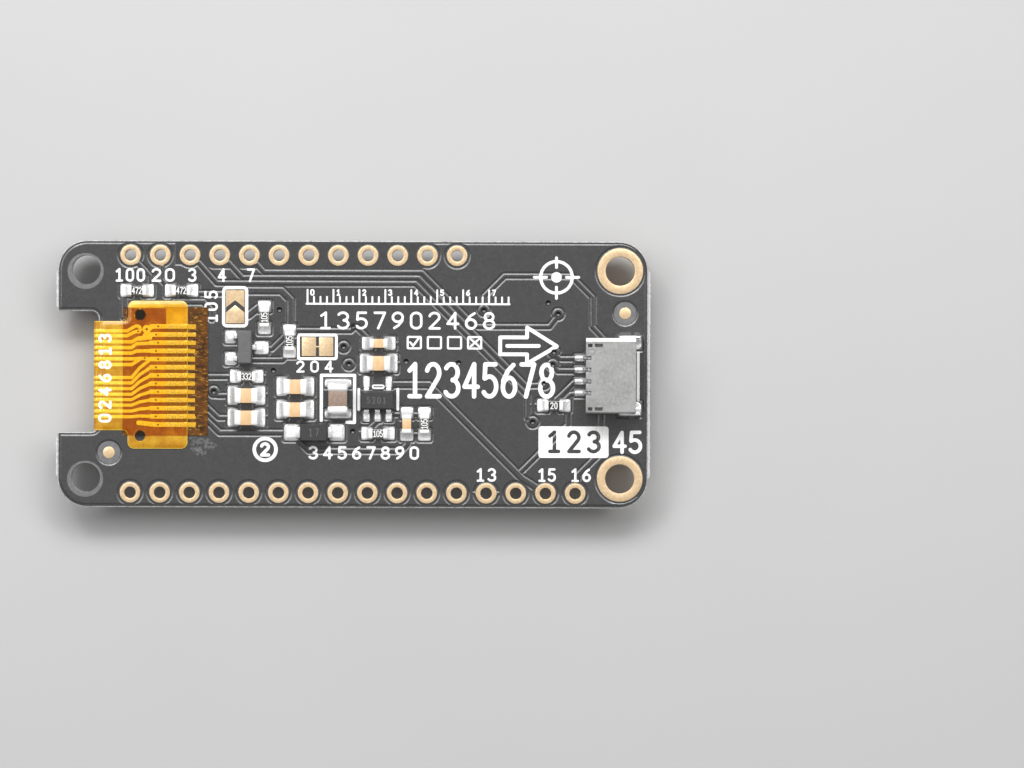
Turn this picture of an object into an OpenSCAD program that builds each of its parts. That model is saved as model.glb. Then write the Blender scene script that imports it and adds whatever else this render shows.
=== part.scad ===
// Small display module on a narrow two-row header board.
// Frame: X along the board, Y across it, Z up. Z = 0 is the outer face of the
// polariser, which the module rests on; the component side of the board faces +Z.
// The origin is under the centre of the board. Sizes are in millimetres.

/* [Board] */
// Length of the board, without the break-off ridges
board_l = 50.54; // [50.3:0.01:50.8]
// Width of the board across the two header rows
board_w = 22.86; // [22.6:0.01:23.2]
// Thickness of the board
board_t = 1.6; // [1.2:0.1:2.0]
// Corner radius of the board
corner_r = 2.54; // [2.0:0.01:3.0]
// How far the snapped ridge stands out of each short edge
ridge_out = 0.23; // [0.1:0.01:0.35]
// Thickness of the snapped web in the middle of the edge
ridge_t = 0.45; // [0.3:0.05:0.7]

/* [Header holes] */
// Pitch of the header holes
pin_pitch = 2.54; // [2.54:0.01:2.54]
// Distance of each header row from the centre line
row_y = 10.16; // [10.1:0.01:10.2]
// X of the first hole in both rows
row_x0 = -19.05; // [-19.3:0.01:-18.8]
// Number of holes in the lower row
row_lower = 16; // [12:1:16]
// Number of holes in the upper row
row_upper = 12; // [8:1:12]
// Finished diameter of a header hole
pin_hole_d = 1.0; // [0.9:0.05:1.1]
// Diameter of the pad ring round a header hole
pin_ring_d = 1.75; // [1.5:0.05:1.9]

/* [Mounting holes] */
// Distance of the mounting holes from the middle, along the board
mount_x = 22.86; // [22.8:0.01:22.9]
// Distance of the mounting holes from the middle, across the board
mount_y = 8.89; // [8.8:0.01:9.0]
// Finished diameter of a mounting hole
mount_d = 2.5; // [2.4:0.05:2.6]
// Diameter of the ring round a plated mounting hole
mount_ring_d = 3.9; // [3.4:0.05:4.2]

/* [Notch for the flex] */
// X of the inner wall of the notch
notch_x = -21.76; // [-22.2:0.01:-21.7]
// Upper side of the notch
notch_y1 = 5.35; // [5.2:0.01:5.6]
// Lower side of the notch
notch_y0 = -5.0; // [-5.3:0.01:-4.95]
// Radius of the notch's inner corners
notch_r = 0.65; // [0.3:0.05:0.8]

/* [Display] */
// Left edge of the display's main glass
glass_x0 = -21.4; // [-21.45:0.01:-21.2]
// Right edge of the display's main glass
glass_x1 = 14.9; // [14.5:0.05:15.0]
// Width of the main glass
glass_w = 18.0; // [17.6:0.1:18.2]
// Thickness of each of the two sheets of glass
glass_t = 0.7; // [0.65:0.05:0.7]
// Left edge of the shorter rear glass; the ledge is to the left of it
rear_glass_x0 = -17.0; // [-17.4:0.1:-16.8]
// Thickness of the polariser
polariser_t = 0.2; // [0.15:0.05:0.2]
// Thickness of the foam tape that holds the display to the board
foam_t = 0.4; // [0.4:0.05:0.5]

/* [Flex tail] */
// Thickness of the flex
flex_t = 0.1; // [0.08:0.01:0.12]
// Width of the neck that goes round the notch
flex_neck_w = 9.33; // [9.0:0.01:9.5]
// Width of the soldered head
flex_head_w = 12.65; // [12.2:0.01:12.8]
// Left edge of the soldered head
flex_head_x0 = -19.25; // [-19.4:0.01:-19.1]
// Right edge of the soldered head
flex_head_x1 = -14.14; // [-14.3:0.01:-14.0]
// Diameter of the two alignment holes
flex_hole_d = 0.86; // [0.7:0.02:1.0]
// Pitch of the soldered fingers
finger_pitch = 0.7; // [0.7:0.01:0.7]
// Number of soldered fingers
fingers = 13; // [9:1:13]

/* [Push buttons] */
// Length of a push button
btn_l = 4.2; // [4.0:0.1:4.4]
// Width of a push button
btn_w = 2.8; // [2.6:0.1:3.0]
// Height of the push button's case above the board
btn_h = 1.4; // [1.4:0.05:1.45]
// How far the plunger stands out of the case
btn_plunger = 0.5; // [0.3:0.05:0.5]
// Travel of the plunger
btn_travel = 0.2; // [0.1:0.05:0.2]
// X of the column of three buttons
btn_x = 17.9; // [17.5:0.1:18.3]
// Spacing of the three buttons
btn_pitch = 6.1; // [5.6:0.1:6.4]
// X of the single button at the end
btn_end_x = 22.9; // [22.5:0.1:23.1]

/* [Chip parts] */
// Length of a small chip
s_l = 1.6; // [1.5:0.05:1.7]
// Width of a small chip
s_w = 0.82; // [0.75:0.01:0.9]
// Height of a small resistor
s_h = 0.48; // [0.4:0.02:0.6]
// Length of a larger chip
m_l = 2.05; // [1.9:0.05:2.15]
// Width of a larger chip
m_w = 1.3; // [1.15:0.05:1.35]
// Height of a larger capacitor
m_h = 0.9; // [0.7:0.05:1.25]

/* [Cable connector] */
// Depth of the connector housing, along the board
conn_l = 4.25; // [4.1:0.05:4.4]
// Width of the connector housing
conn_w = 6.4; // [6.0:0.05:6.5]
// Height of the connector housing
conn_h = 2.95; // [2.8:0.05:3.1]
// X of the housing's rear face
conn_x0 = 19.92; // [19.85:0.01:20.0]
// Y of the connector's centre line
conn_y = -0.06; // [-0.3:0.01:0.3]

/* [Hidden] */
$fn = 48;
e = 0.01;
copper = 0.035;                       // pad thickness
plate = 0.03;                         // wall of a plated barrel
z_sub = polariser_t;                  // main glass, outer face
z_ledge = z_sub + glass_t;            // main glass, inner face
z_rear = z_ledge + glass_t;           // rear glass, inner face
z_b0 = z_rear + foam_t;               // board, display side
z_b1 = z_b0 + board_t;                // board, component side
z_c = z_b1 + 0.04;                    // underside of the soldered parts
pins_lower = [for (i = [0 : row_lower - 1]) [row_x0 + pin_pitch * i, -row_y]];
pins_upper = [for (i = [0 : row_upper - 1]) [row_x0 + pin_pitch * i, row_y]];
pins = concat(pins_lower, pins_upper);
flex_c = -0.175;                      // centre line of the neck
head_c = -0.085;                      // centre line of the head
finger_y0 = 4.05;                     // first finger
flex_z0 = z_b1 + 0.04;                // flex underside over the board
flex_out = -22.2;                     // outermost X of the fold

// chip part places: [x, y, turn]
R_AT = [[-18.48, 7.11, 0], [-14.68, 7.12, 0], [-7.58, 4.83, 90], [-5.43, 2.81, 90],
        [-9.09, -0.21, 0], [2.17, -5.07, 0], [6.14, -4.25, 90], [17.21, -2.63, 0]];
C_AT = [[-9.10, -1.85, 0], [-9.10, -3.75, 0], [-4.92, -1.08, 0], [-4.92, -3.04, 0],
        [2.21, 0.94, 0]];
CS_AT = [[2.21, 2.65, 0], [4.63, -4.26, 90]];
L_AT = [-1.26, -2.10];                // chip inductor
D_AT = [-3.29, -4.98];                // diode
Q_AT = [-9.23, 2.28];                 // transistor
U_AT = [2.13, -2.21];                 // regulator
BTN_AT = [[btn_x, btn_pitch], [btn_x, 0], [btn_x, -btn_pitch], [btn_end_x, 0]];

// ---------- helpers ----------
module rounded(l, w, r) {
    square([l - 2 * r, w], center = true);
    square([l, w - 2 * r], center = true);
    for (sx = [-1, 1], sy = [-1, 1])
        translate([sx * (l / 2 - r), sy * (w / 2 - r)]) circle(r);
}
module stadium(l, w) {
    square([l - w, w], center = true);
    for (s = [-1, 1]) translate([s * (l - w) / 2, 0]) circle(w / 2);
}
// prism with its outline in the XZ plane, from y0 to y1
module along_y(y0, y1) { translate([0, y1, 0]) rotate([90, 0, 0]) linear_extrude(y1 - y0) children(); }
// prism with its outline in the YZ plane, from x0 to x1
module along_x(x0, x1) { translate([x0, 0, 0]) rotate([90, 0, 90]) linear_extrude(x1 - x0) children(); }

// ---------- board ----------
module board_outline() {
    difference() {
        rounded(board_l, board_w, corner_r);
        difference() {
            translate([-board_l / 2 - 1, notch_y0]) square([notch_x + board_l / 2 + 1, notch_y1 - notch_y0]);
            for (s = [[notch_y1, -1], [notch_y0, 1]])
                difference() {
                    translate([notch_x - notch_r, min(s[0], s[0] + s[1] * notch_r)]) square(notch_r + e);
                    translate([notch_x - notch_r, s[0] + s[1] * notch_r]) circle(notch_r);
                }
        }
    }
}
// snapped ridge along a straight stretch of a short edge; side is 1 or -1
module ridge(side, y0, y1) {
    x = board_l / 2;
    m = (z_b0 + z_b1) / 2;
    along_y(y0, y1) polygon([[side * (x - 0.2), z_b0], [side * x, z_b0],
        [side * (x + ridge_out), m - ridge_t / 2], [side * (x + ridge_out), m + ridge_t / 2],
        [side * x, z_b1], [side * (x - 0.2), z_b1]]);
}
module pcb() color([0.16, 0.16, 0.17]) difference() {
    union() {
        translate([0, 0, z_b0]) linear_extrude(board_t) board_outline();
        ridge(1, -8.9, 8.9);
        ridge(-1, notch_y1 + 0.25, 8.9);
        ridge(-1, -8.9, notch_y0 - 0.25);
    }
    for (p = pins) translate([p[0], p[1], z_b0 - 1]) cylinder(h = board_t + 2, d = pin_hole_d + 2 * plate);
    for (sy = [-1, 1]) {
        translate([mount_x, sy * mount_y, z_b0 - 1]) cylinder(h = board_t + 2, d = mount_d + 2 * plate);
        translate([-mount_x, sy * mount_y, z_b0 - 1]) cylinder(h = board_t + 2, d = mount_d);
    }
}
// plated barrel with a ring on both faces
module barrel(d, ring) {
    rotate_extrude() polygon([[d / 2, z_b0 - copper], [ring / 2, z_b0 - copper], [ring / 2, z_b0],
        [d / 2 + plate, z_b0], [d / 2 + plate, z_b1], [ring / 2, z_b1],
        [ring / 2, z_b1 + copper], [d / 2, z_b1 + copper]]);
}
module header_hole_plating() color([0.86, 0.70, 0.42])
    for (p = pins) translate([p[0], p[1], 0]) barrel(pin_hole_d, pin_ring_d);
module mount_hole_plating() color([0.86, 0.70, 0.42])
    for (sy = [-1, 1]) translate([mount_x, sy * mount_y, 0]) barrel(mount_d, mount_ring_d);
module bare_pads() color([0.86, 0.72, 0.48]) translate([0, 0, z_b1]) linear_extrude(copper) {
    // two fiducial dots
    translate([23.29, 5.28]) circle(0.5);
    translate([-20.86, -6.75]) circle(0.5);
    // tall jumper with an arrow-shaped gap
    translate([-10.09, 5.75]) {
        polygon([[-0.8, -1.42], [0.8, -1.42], [0.8, -0.5], [0, 0.2], [-0.8, -0.5]]);
        polygon([[-0.8, 1.42], [0.8, 1.42], [0.8, -0.28], [0, 0.42], [-0.8, -0.28]]);
    }
    // wide jumper with two pads
    for (s = [-1, 1]) translate([-3.03 + s * 0.74, 2.35]) square([1.2, 1.6], center = true);
    // lands that the flex fingers are soldered to
    for (i = [0 : fingers - 1])
        translate([-16.05, finger_y0 - finger_pitch * i - 0.2]) square([2.7, 0.4]);
}

// ---------- soldering ----------
// pad and fillet at each end of a chip: l, h are the chip's, span the whole footprint
module chip_solder(l, w, h, span) {
    for (s = [0, 180]) rotate([0, 0, s])
        along_y(-w / 2, w / 2) polygon([[l / 2 - 0.35, z_b1], [span / 2, z_b1], [span / 2, z_b1 + 0.07],
            [l / 2 + 0.16, z_b1 + 0.12 + h * 0.3], [l / 2, z_c + h * 0.72], [l / 2, z_c], [l / 2 - 0.35, z_c]]);
}
module pad(x0, x1, y0, y1, t = 0.04) translate([x0, y0, z_b1]) cube([x1 - x0, y1 - y0, t]);
module solder_joints() color([0.80, 0.80, 0.80]) {
    for (p = R_AT) translate([p[0], p[1], 0]) rotate([0, 0, p[2]]) chip_solder(s_l, 1.1, s_h, 2.86);
    for (p = CS_AT) translate([p[0], p[1], 0]) rotate([0, 0, p[2]]) chip_solder(s_l, 1.12, 0.8, 2.88);
    for (p = C_AT) translate([p[0], p[1], 0]) rotate([0, 0, p[2]]) chip_solder(m_l, 1.62, m_h, 3.23);
    translate([L_AT[0], L_AT[1], 0]) rotate([0, 0, 90]) chip_solder(2.6, 2.28, 1.3, 3.34);
    for (s = [-1, 1]) translate([D_AT[0], D_AT[1], 0])
        pad(min(s * 1.25, s * 2.6), max(s * 1.25, s * 2.6), -0.72, 0.72);
    for (y = [0.87, -0.99]) translate([Q_AT[0], Q_AT[1], 0]) pad(-1.72, -0.72, y - 0.54, y + 0.54);
    translate([Q_AT[0], Q_AT[1], 0]) pad(0.72, 2.02, -0.59, 0.49);
    for (x = [-0.95, 0.95]) translate([U_AT[0] + x, U_AT[1], 0]) pad(-0.3, 0.3, 1.0, 2.05);
    for (x = [-0.95, 0, 0.95]) translate([U_AT[0] + x, U_AT[1], 0]) pad(-0.3, 0.3, -1.85, -1.0);
    for (i = [-1.5, -0.5, 0.5, 1.5]) translate([0, conn_y + i, 0]) pad(18.96, 20.0, -0.3, 0.3);
    for (s = [-1, 1]) translate([0, conn_y + s * 2.84, 0]) pad(22.7, 24.7, -0.62, 0.62);
    for (b = [0 : 3]) for (sx = [-1, 1], sy = [-1, 1])
        translate([BTN_AT[b][0] + sx * 0.85, BTN_AT[b][1] + sy * 2.3, z_b0 - 0.02])
            cube([0.8, 0.8, 0.04], center = true);
}

// ---------- display ----------
module plate_at(x0, x1, w, z0, t) translate([x0, -w / 2, z0]) cube([x1 - x0, w, t]);
module oled_main_glass() color([0.55, 0.60, 0.62]) plate_at(glass_x0, glass_x1, glass_w, z_sub, glass_t);
module oled_rear_glass() color([0.50, 0.55, 0.57]) plate_at(rear_glass_x0, glass_x1 - 0.5, glass_w - 0.6, z_ledge, glass_t);
module polariser() color([0.05, 0.05, 0.06]) plate_at(rear_glass_x0 - 0.4, glass_x1 - 0.4, glass_w - 0.8, 0, polariser_t);
module driver_chip() color([0.35, 0.35, 0.38]) plate_at(-19.3, -18.1, 9.2, z_ledge, 0.3);
module mounting_tape() color([0.80, 0.80, 0.78]) plate_at(rear_glass_x0 + 0.6, glass_x1 - 1.1, glass_w - 1.6, z_rear, foam_t);

// ---------- flex ----------
// quarter ring of inner radius r in the XZ plane, in the quadrant (qx, qz)
module bend(x, z, r, qx, qz) translate([x, z]) intersection() {
    difference() { circle(r + flex_t); circle(r); }
    translate([min(0, qx * 2), min(0, qz * 2)]) square(2);
}
module flex_tail() color([0.90, 0.62, 0.12]) {
    ri = 0.2;                         // tight fold over the edge of the board
    xi = flex_out + flex_t;
    union() {
        along_y(flex_c - flex_neck_w / 2, flex_c + flex_neck_w / 2) union() {
            // bonded end on the ledge of the main glass
            translate([xi + 0.5, z_ledge]) square([-19.9 - xi - 0.5, flex_t]);
            bend(xi + 0.5, z_ledge + flex_t + 0.5, 0.5, -1, -1);
            translate([flex_out, z_ledge + flex_t + 0.5]) square([flex_t, flex_z0 - ri - z_ledge - flex_t - 0.5]);
            bend(xi + ri, flex_z0 - ri, ri, -1, 1);
            translate([xi + ri, flex_z0]) square([flex_head_x0 + 1 - xi - ri, flex_t]);
        }
        translate([(flex_head_x0 + flex_head_x1) / 2, head_c, flex_z0]) linear_extrude(flex_t) difference() {
            rounded(flex_head_x1 - flex_head_x0, flex_head_w, 0.55);
            for (y = [5.06 - head_c, -5.33 - head_c])
                translate([-18.19 - (flex_head_x0 + flex_head_x1) / 2, y]) circle(d = flex_hole_d);
        }
    }
}
module flex_cover_tape() color([0.78, 0.52, 0.14]) {
    t = 0.06;
    z0 = flex_z0 + flex_t;
    along_y(-5.29, 5.68) polygon([[-19.62, z0], [flex_head_x1, z0], [flex_head_x1 + 0.12, flex_z0],
        [-12.39, flex_z0], [-12.39, flex_z0 + t], [flex_head_x1 + 0.2, flex_z0 + t],
        [flex_head_x1 + 0.06, z0 + t], [-19.62, z0 + t]]);
}

// ---------- chip parts ----------
// body with a cap at each end; the caps stand out a little all round
module chip(l, w, h, cap, lip = 0.02) {
    translate([0, 0, z_c]) {
        translate([-l / 2 + cap, -w / 2 + lip, lip]) cube([l - 2 * cap, w - 2 * lip, h - 2 * lip]);
        for (s = [-1, 1]) translate([s * (l / 2 - cap / 2), 0, h / 2]) cube([cap, w, h], center = true);
    }
}
module resistor(i) color([0.12, 0.12, 0.13]) translate([R_AT[i][0], R_AT[i][1], 0])
    rotate([0, 0, R_AT[i][2]]) chip(s_l, s_w, s_h, 0.32);
module cap_m(i) color([0.90, 0.77, 0.60]) translate([C_AT[i][0], C_AT[i][1], 0])
    rotate([0, 0, C_AT[i][2]]) chip(m_l, m_w, m_h, 0.55);
module cap_s(i) color([0.90, 0.77, 0.60]) translate([CS_AT[i][0], CS_AT[i][1], 0])
    rotate([0, 0, CS_AT[i][2]]) chip(s_l, s_w, 0.8, 0.4);
module resistor_1() resistor(0);
module resistor_2() resistor(1);
module resistor_3() resistor(2);
module resistor_4() resistor(3);
module resistor_5() resistor(4);
module resistor_6() resistor(5);
module resistor_7() resistor(6);
module resistor_8() resistor(7);
module capacitor_1() cap_m(0);
module capacitor_2() cap_m(1);
module capacitor_3() cap_m(2);
module capacitor_4() cap_m(3);
module capacitor_5() cap_m(4);
module capacitor_6() cap_s(0);
module capacitor_7() cap_s(1);
module chip_inductor() color([0.64, 0.55, 0.48]) translate([L_AT[0], L_AT[1], 0])
    rotate([0, 0, 90]) chip(2.6, 1.75, 1.3, 0.66, 0.04);

// ---------- moulded parts ----------
// moulded case, widest at the middle of its height
module moulded(l, w, h, draft) intersection() {
    along_y(-w, w) polygon([[-l / 2 + draft, 0], [l / 2 - draft, 0], [l / 2, h * 0.5],
        [l / 2 - draft, h], [-l / 2 + draft, h], [-l / 2, h * 0.5]]);
    along_x(-l, l) polygon([[-w / 2 + draft, 0], [w / 2 - draft, 0], [w / 2, h * 0.5],
        [w / 2 - draft, h], [-w / 2 + draft, h], [-w / 2, h * 0.5]]);
}
// bent lead that leaves the case at x = 0 and ends flat at x = reach, its middle at height zc
module lead(w, reach, zc, t = 0.13) along_y(-w / 2, w / 2)
    polygon([[0, zc - t / 2], [0, zc + t / 2], [0.24, zc + t / 2], [0.42, t], [reach, t],
        [reach, 0], [0.32, 0], [0.14, zc - t / 2]]);
module diode_body() color([0.25, 0.25, 0.26]) translate([D_AT[0], D_AT[1], z_c + 0.06]) moulded(2.4, 1.6, 1.1, 0.12);
module diode_leads() color([0.80, 0.80, 0.80]) translate([D_AT[0], D_AT[1], z_c])
    for (s = [0, 180]) rotate([0, 0, s]) translate([1.2, 0, 0]) lead(0.9, 1.075, 0.61);
module transistor_body() color([0.42, 0.42, 0.43]) translate([Q_AT[0], Q_AT[1], z_c + 0.06]) moulded(1.3, 2.9, 1.0, 0.12);
module transistor_leads() color([0.80, 0.80, 0.80]) translate([Q_AT[0], Q_AT[1], z_c]) {
    for (y = [0.95, -0.95]) translate([-0.65, y, 0]) rotate([0, 0, 180]) lead(0.42, 0.75, 0.56);
    translate([0.65, 0, 0]) lead(0.42, 0.75, 0.56);
}
module regulator_body() color([0.25, 0.25, 0.26]) translate([U_AT[0], U_AT[1], z_c + 0.06]) moulded(2.9, 1.6, 1.1, 0.12);
module regulator_leads() color([0.80, 0.80, 0.80]) translate([U_AT[0], U_AT[1], z_c]) {
    for (x = [-0.95, 0.95]) translate([x, 0.8, 0]) rotate([0, 0, 90]) lead(0.42, 0.85, 0.61);
    for (x = [-0.95, 0, 0.95]) translate([x, -0.8, 0]) rotate([0, 0, -90]) lead(0.42, 0.75, 0.61);
}

// ---------- cable connector: opens towards +X ----------
module connector_housing() color([0.72, 0.72, 0.70]) translate([conn_x0, conn_y, z_b1]) difference() {
    union() {
        // shell with its upper long edges taken off
        along_x(0, conn_l) polygon([[-conn_w / 2, 0.05], [conn_w / 2, 0.05], [conn_w / 2, conn_h - 0.3],
            [conn_w / 2 - 0.3, conn_h], [-conn_w / 2 + 0.12, conn_h], [-conn_w / 2, conn_h - 0.12]]);
    }
    // socket
    translate([0.9, -2.45, 0.6]) cube([conn_l, 4.9, 1.75]);
    // keyway grooves at both ends of the socket
    for (s = [-1, 1]) translate([1.6, s * 2.45 - 0.22, 0.95]) cube([conn_l, 0.44, 0.75]);
    // slots for the contacts in the rear wall
    for (i = [-1.5, -0.5, 0.5, 1.5]) {
        translate([-1, i - 0.17, 0]) cube([2.2, 0.34, 1.75]);
        translate([-1, i - 0.17, 0]) cube([1.45, 0.34, conn_h + 1]);
    }
    // ejector mark, a shallow ring in the roof
    translate([0.5, 1.96, conn_h - 0.035]) difference() {
        cylinder(r = 0.29, h = 1);
        cylinder(r = 0.21, h = 1);
    }
    // moulding windows in the roof
    for (y = [-2.84, 2.57]) {
        translate([0.16, y - 0.15, conn_h - 0.45]) cube([0.38, 0.3, 1]);
        translate([0.74, y - 0.15, conn_h - 0.45]) cube([0.68, 0.3, 1]);
    }
    // pockets for the fixing tabs
    for (s = [-1, 1]) translate([2.75, s * (conn_w / 2 - 0.05) - 0.11, -1]) cube([1.2, 0.22, 2.6]);
}
module connector_contacts() color([0.82, 0.80, 0.74]) translate([0, conn_y, 0])
    for (i = [-1.5, -0.5, 0.5, 1.5]) translate([0, i, 0])
        along_y(-0.15, 0.15) polygon([[18.98, z_c], [19.75, z_c], [20.05, z_b1 + 0.5], [20.35, z_b1 + 1.27],
            [23.2, z_b1 + 1.27], [23.4, z_b1 + 1.36], [23.4, z_b1 + 1.44], [23.2, z_b1 + 1.53],
            [20.14, z_b1 + 1.53], [19.86, z_b1 + 0.62], [19.62, z_c + 0.22], [18.98, z_c + 0.22]]);
module connector_tabs() color([0.82, 0.82, 0.82]) for (s = [-1, 1])
    translate([22.8, conn_y + s * (conn_w / 2 - 0.05), 0]) {
        translate([0, -0.075, z_c]) cube([0.95, 0.15, 1.4]);
        translate([0, -0.075 + s * 0.15, z_c]) cube([1.8, 0.15, 0.9]);
    }

// ---------- push buttons on the display side ----------
// the button's own frame has z = 0 on the board and its plunger towards +z
module at_button(b) translate([BTN_AT[b][0], BTN_AT[b][1], z_b0]) rotate([180, 0, 0]) rotate([0, 0, 90]) children();
floor_z = 0.42;                       // cavity floor in the base
dome_h = 0.28;                        // free height of the dome
module button_base(b) color([0.13, 0.13, 0.13]) at_button(b) translate([0, 0, 0.04]) difference() {
    linear_extrude(btn_h - 0.24) difference() {
        square([btn_l, btn_w], center = true);
        for (sx = [-1, 1], sy = [-1, 1]) translate([sx * btn_l / 2, sy * btn_w / 2]) rotate([0, 0, 45]) square(0.5, center = true);
    }
    translate([0, 0, floor_z - 0.04]) linear_extrude(2) stadium(3.0, 2.3);
}
module button_cover(b) color([0.78, 0.78, 0.78]) at_button(b) translate([0, 0, btn_h - 0.2]) {
    linear_extrude(0.2) difference() {
        square([btn_l - 0.1, btn_w], center = true);
        stadium(2.16, 1.76);
    }
    // side cheeks that grip the base
    for (s = [-1, 1]) translate([-0.9, s * (btn_w / 2 + 0.05) - 0.05, -0.75]) cube([1.8, 0.1, 0.95]);
}
module button_dome(b) color([0.75, 0.75, 0.74]) at_button(b) translate([0, 0, floor_z])
    rotate_extrude() polygon([[0, dome_h - 0.05], [0.45, dome_h - 0.08], [0.85, 0.09], [1.05, 0], [1.12, 0],
        [0.9, 0.14], [0.48, dome_h - 0.02], [0, dome_h]]);
module button_plunger(b) color([0.92, 0.92, 0.90]) at_button(b) {
    translate([0, 0, floor_z + dome_h + 0.02]) linear_extrude(btn_h - 0.2 - 0.02 - floor_z - dome_h - 0.02) stadium(2.6, 2.1);
    translate([0, 0, floor_z + dome_h + 0.02]) linear_extrude(btn_h + btn_plunger - floor_z - dome_h - 0.02) stadium(2.06, 1.66);
}
module button_terminals(b) color([0.82, 0.82, 0.80]) at_button(b)
    for (sx = [-1, 1], sy = [-1, 1]) {
        translate([sx * 2.3 - 0.2, sy * 0.85 - 0.3, 0.04]) cube([0.4, 0.6, 0.15]);
        translate([sx * 2.16 - 0.06, sy * 0.85 - 0.3, 0.04]) cube([0.12, 0.6, 0.55]);
    }
module button_a_base() button_base(0);
module button_a_cover() button_cover(0);
module button_a_dome() button_dome(0);
module button_a_terminals() button_terminals(0);
module button_a_plunger() button_plunger(0);
module button_b_base() button_base(1);
module button_b_cover() button_cover(1);
module button_b_dome() button_dome(1);
module button_b_terminals() button_terminals(1);
module button_b_plunger() button_plunger(1);
module button_c_base() button_base(2);
module button_c_cover() button_cover(2);
module button_c_dome() button_dome(2);
module button_c_terminals() button_terminals(2);
module button_c_plunger() button_plunger(2);
module button_d_base() button_base(3);
module button_d_cover() button_cover(3);
module button_d_dome() button_dome(3);
module button_d_terminals() button_terminals(3);
module button_d_plunger() button_plunger(3);

pcb();
header_hole_plating();
mount_hole_plating();
bare_pads();
solder_joints();
oled_main_glass();
oled_rear_glass();
polariser();
driver_chip();
mounting_tape();
flex_tail();
flex_cover_tape();
resistor_1();
resistor_2();
resistor_3();
resistor_4();
resistor_5();
resistor_6();
resistor_7();
resistor_8();
capacitor_1();
capacitor_2();
capacitor_3();
capacitor_4();
capacitor_5();
capacitor_6();
capacitor_7();
chip_inductor();
diode_body();
diode_leads();
transistor_body();
transistor_leads();
regulator_body();
regulator_leads();
connector_housing();
connector_contacts();
connector_tabs();
button_a_base();
button_a_cover();
button_a_dome();
button_a_terminals();
button_a_plunger();
button_b_base();
button_b_cover();
button_b_dome();
button_b_terminals();
button_b_plunger();
button_c_base();
button_c_cover();
button_c_dome();
button_c_terminals();
button_c_plunger();
button_d_base();
button_d_cover();
button_d_dome();
button_d_terminals();
button_d_plunger();
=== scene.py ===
import math

import bmesh
import bpy
import numpy as np
from mathutils import Matrix, Vector
from mathutils.geometry import delaunay_2d_cdt


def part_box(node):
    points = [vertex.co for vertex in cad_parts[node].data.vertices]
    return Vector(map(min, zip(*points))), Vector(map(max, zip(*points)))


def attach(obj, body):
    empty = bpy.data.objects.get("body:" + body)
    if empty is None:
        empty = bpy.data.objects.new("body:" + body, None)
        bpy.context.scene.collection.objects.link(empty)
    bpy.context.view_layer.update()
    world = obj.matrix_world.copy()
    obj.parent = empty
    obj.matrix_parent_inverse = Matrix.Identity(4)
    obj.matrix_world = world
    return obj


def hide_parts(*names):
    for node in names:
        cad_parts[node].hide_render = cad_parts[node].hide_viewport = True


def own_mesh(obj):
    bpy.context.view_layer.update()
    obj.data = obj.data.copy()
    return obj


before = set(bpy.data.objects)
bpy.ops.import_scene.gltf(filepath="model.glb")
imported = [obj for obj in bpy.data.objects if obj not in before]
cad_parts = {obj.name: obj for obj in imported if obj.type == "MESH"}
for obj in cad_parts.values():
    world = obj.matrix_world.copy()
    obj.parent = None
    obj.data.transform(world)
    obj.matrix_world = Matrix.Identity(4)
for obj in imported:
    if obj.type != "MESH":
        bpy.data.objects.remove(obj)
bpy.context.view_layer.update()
MM = 0.001
scene = bpy.context.scene

# ------------------------------------------------------------------ levels, in millimetres
Z_B0 = 1000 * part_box("pcb")[0].z          # board, display side
Z_B1 = 1000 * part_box("pcb")[1].z          # board, component side
Z_CU = Z_B1 + 0.048                       # solder mask where it runs over copper
RELIEF = 0.044                            # drop of the mask beside the copper
Z_C = Z_B1 + 0.04                         # underside of the soldered parts


# ------------------------------------------------------------------ mesh building
class Build:
    """Collects vertices, faces and material numbers."""

    def __init__(self):
        self.v, self.f, self.m = [], [], []
        self.count = 0

    def add(self, verts, faces, mat=0):
        verts = np.asarray(verts, float).reshape(-1, 3)
        base = self.count
        self.v.append(verts)
        self.count += len(verts)
        mats = mat if hasattr(mat, "__len__") else [mat] * len(faces)
        for i, f in enumerate(faces):
            self.f.append([base + int(k) for k in f])
            self.m.append(int(mats[i]))

    def obj(self, name, mats, smooth=True, angle=None):
        me = bpy.data.meshes.new(name)
        v = np.concatenate(self.v) * MM
        me.from_pydata(v.tolist(), [], self.f)
        for m in mats:
            me.materials.append(m)
        me.polygons.foreach_set("material_index", np.array(self.m, np.int32))
        me.polygons.foreach_set("use_smooth", np.full(len(self.f), bool(smooth)))
        me.update()
        o = bpy.data.objects.new(name, me)
        scene.collection.objects.link(o)
        if angle is not None:
            me.set_sharp_from_angle(angle=math.radians(angle))
        return o


def rbox(center, size, r, seg=2, turn=0.0):
    """A block with rounded edges: its vertices and faces."""
    bm = bmesh.new()
    bmesh.ops.create_cube(bm, size=1.0)
    for v in bm.verts:
        v.co = Vector((v.co.x * size[0], v.co.y * size[1], v.co.z * size[2]))
    r = min(r, min(size) * 0.49)
    bmesh.ops.bevel(bm, geom=list(bm.edges), offset=r, segments=seg, profile=0.5, affect="EDGES")
    bm.verts.ensure_lookup_table()
    vs = np.array([v.co for v in bm.verts])
    fs = [[v.index for v in f.verts] for f in bm.faces]
    bm.free()
    c, s = math.cos(math.radians(turn)), math.sin(math.radians(turn))
    vs = vs @ np.array([[c, s, 0], [-s, c, 0], [0, 0, 1]])
    return vs + np.array(center), fs


def place(vs, at, turn):
    c, s = math.cos(math.radians(turn)), math.sin(math.radians(turn))
    out = np.asarray(vs, float) @ np.array([[c, s, 0], [-s, c, 0], [0, 0, 1]])
    out[:, 0] += at[0]
    out[:, 1] += at[1]
    return out


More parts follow.
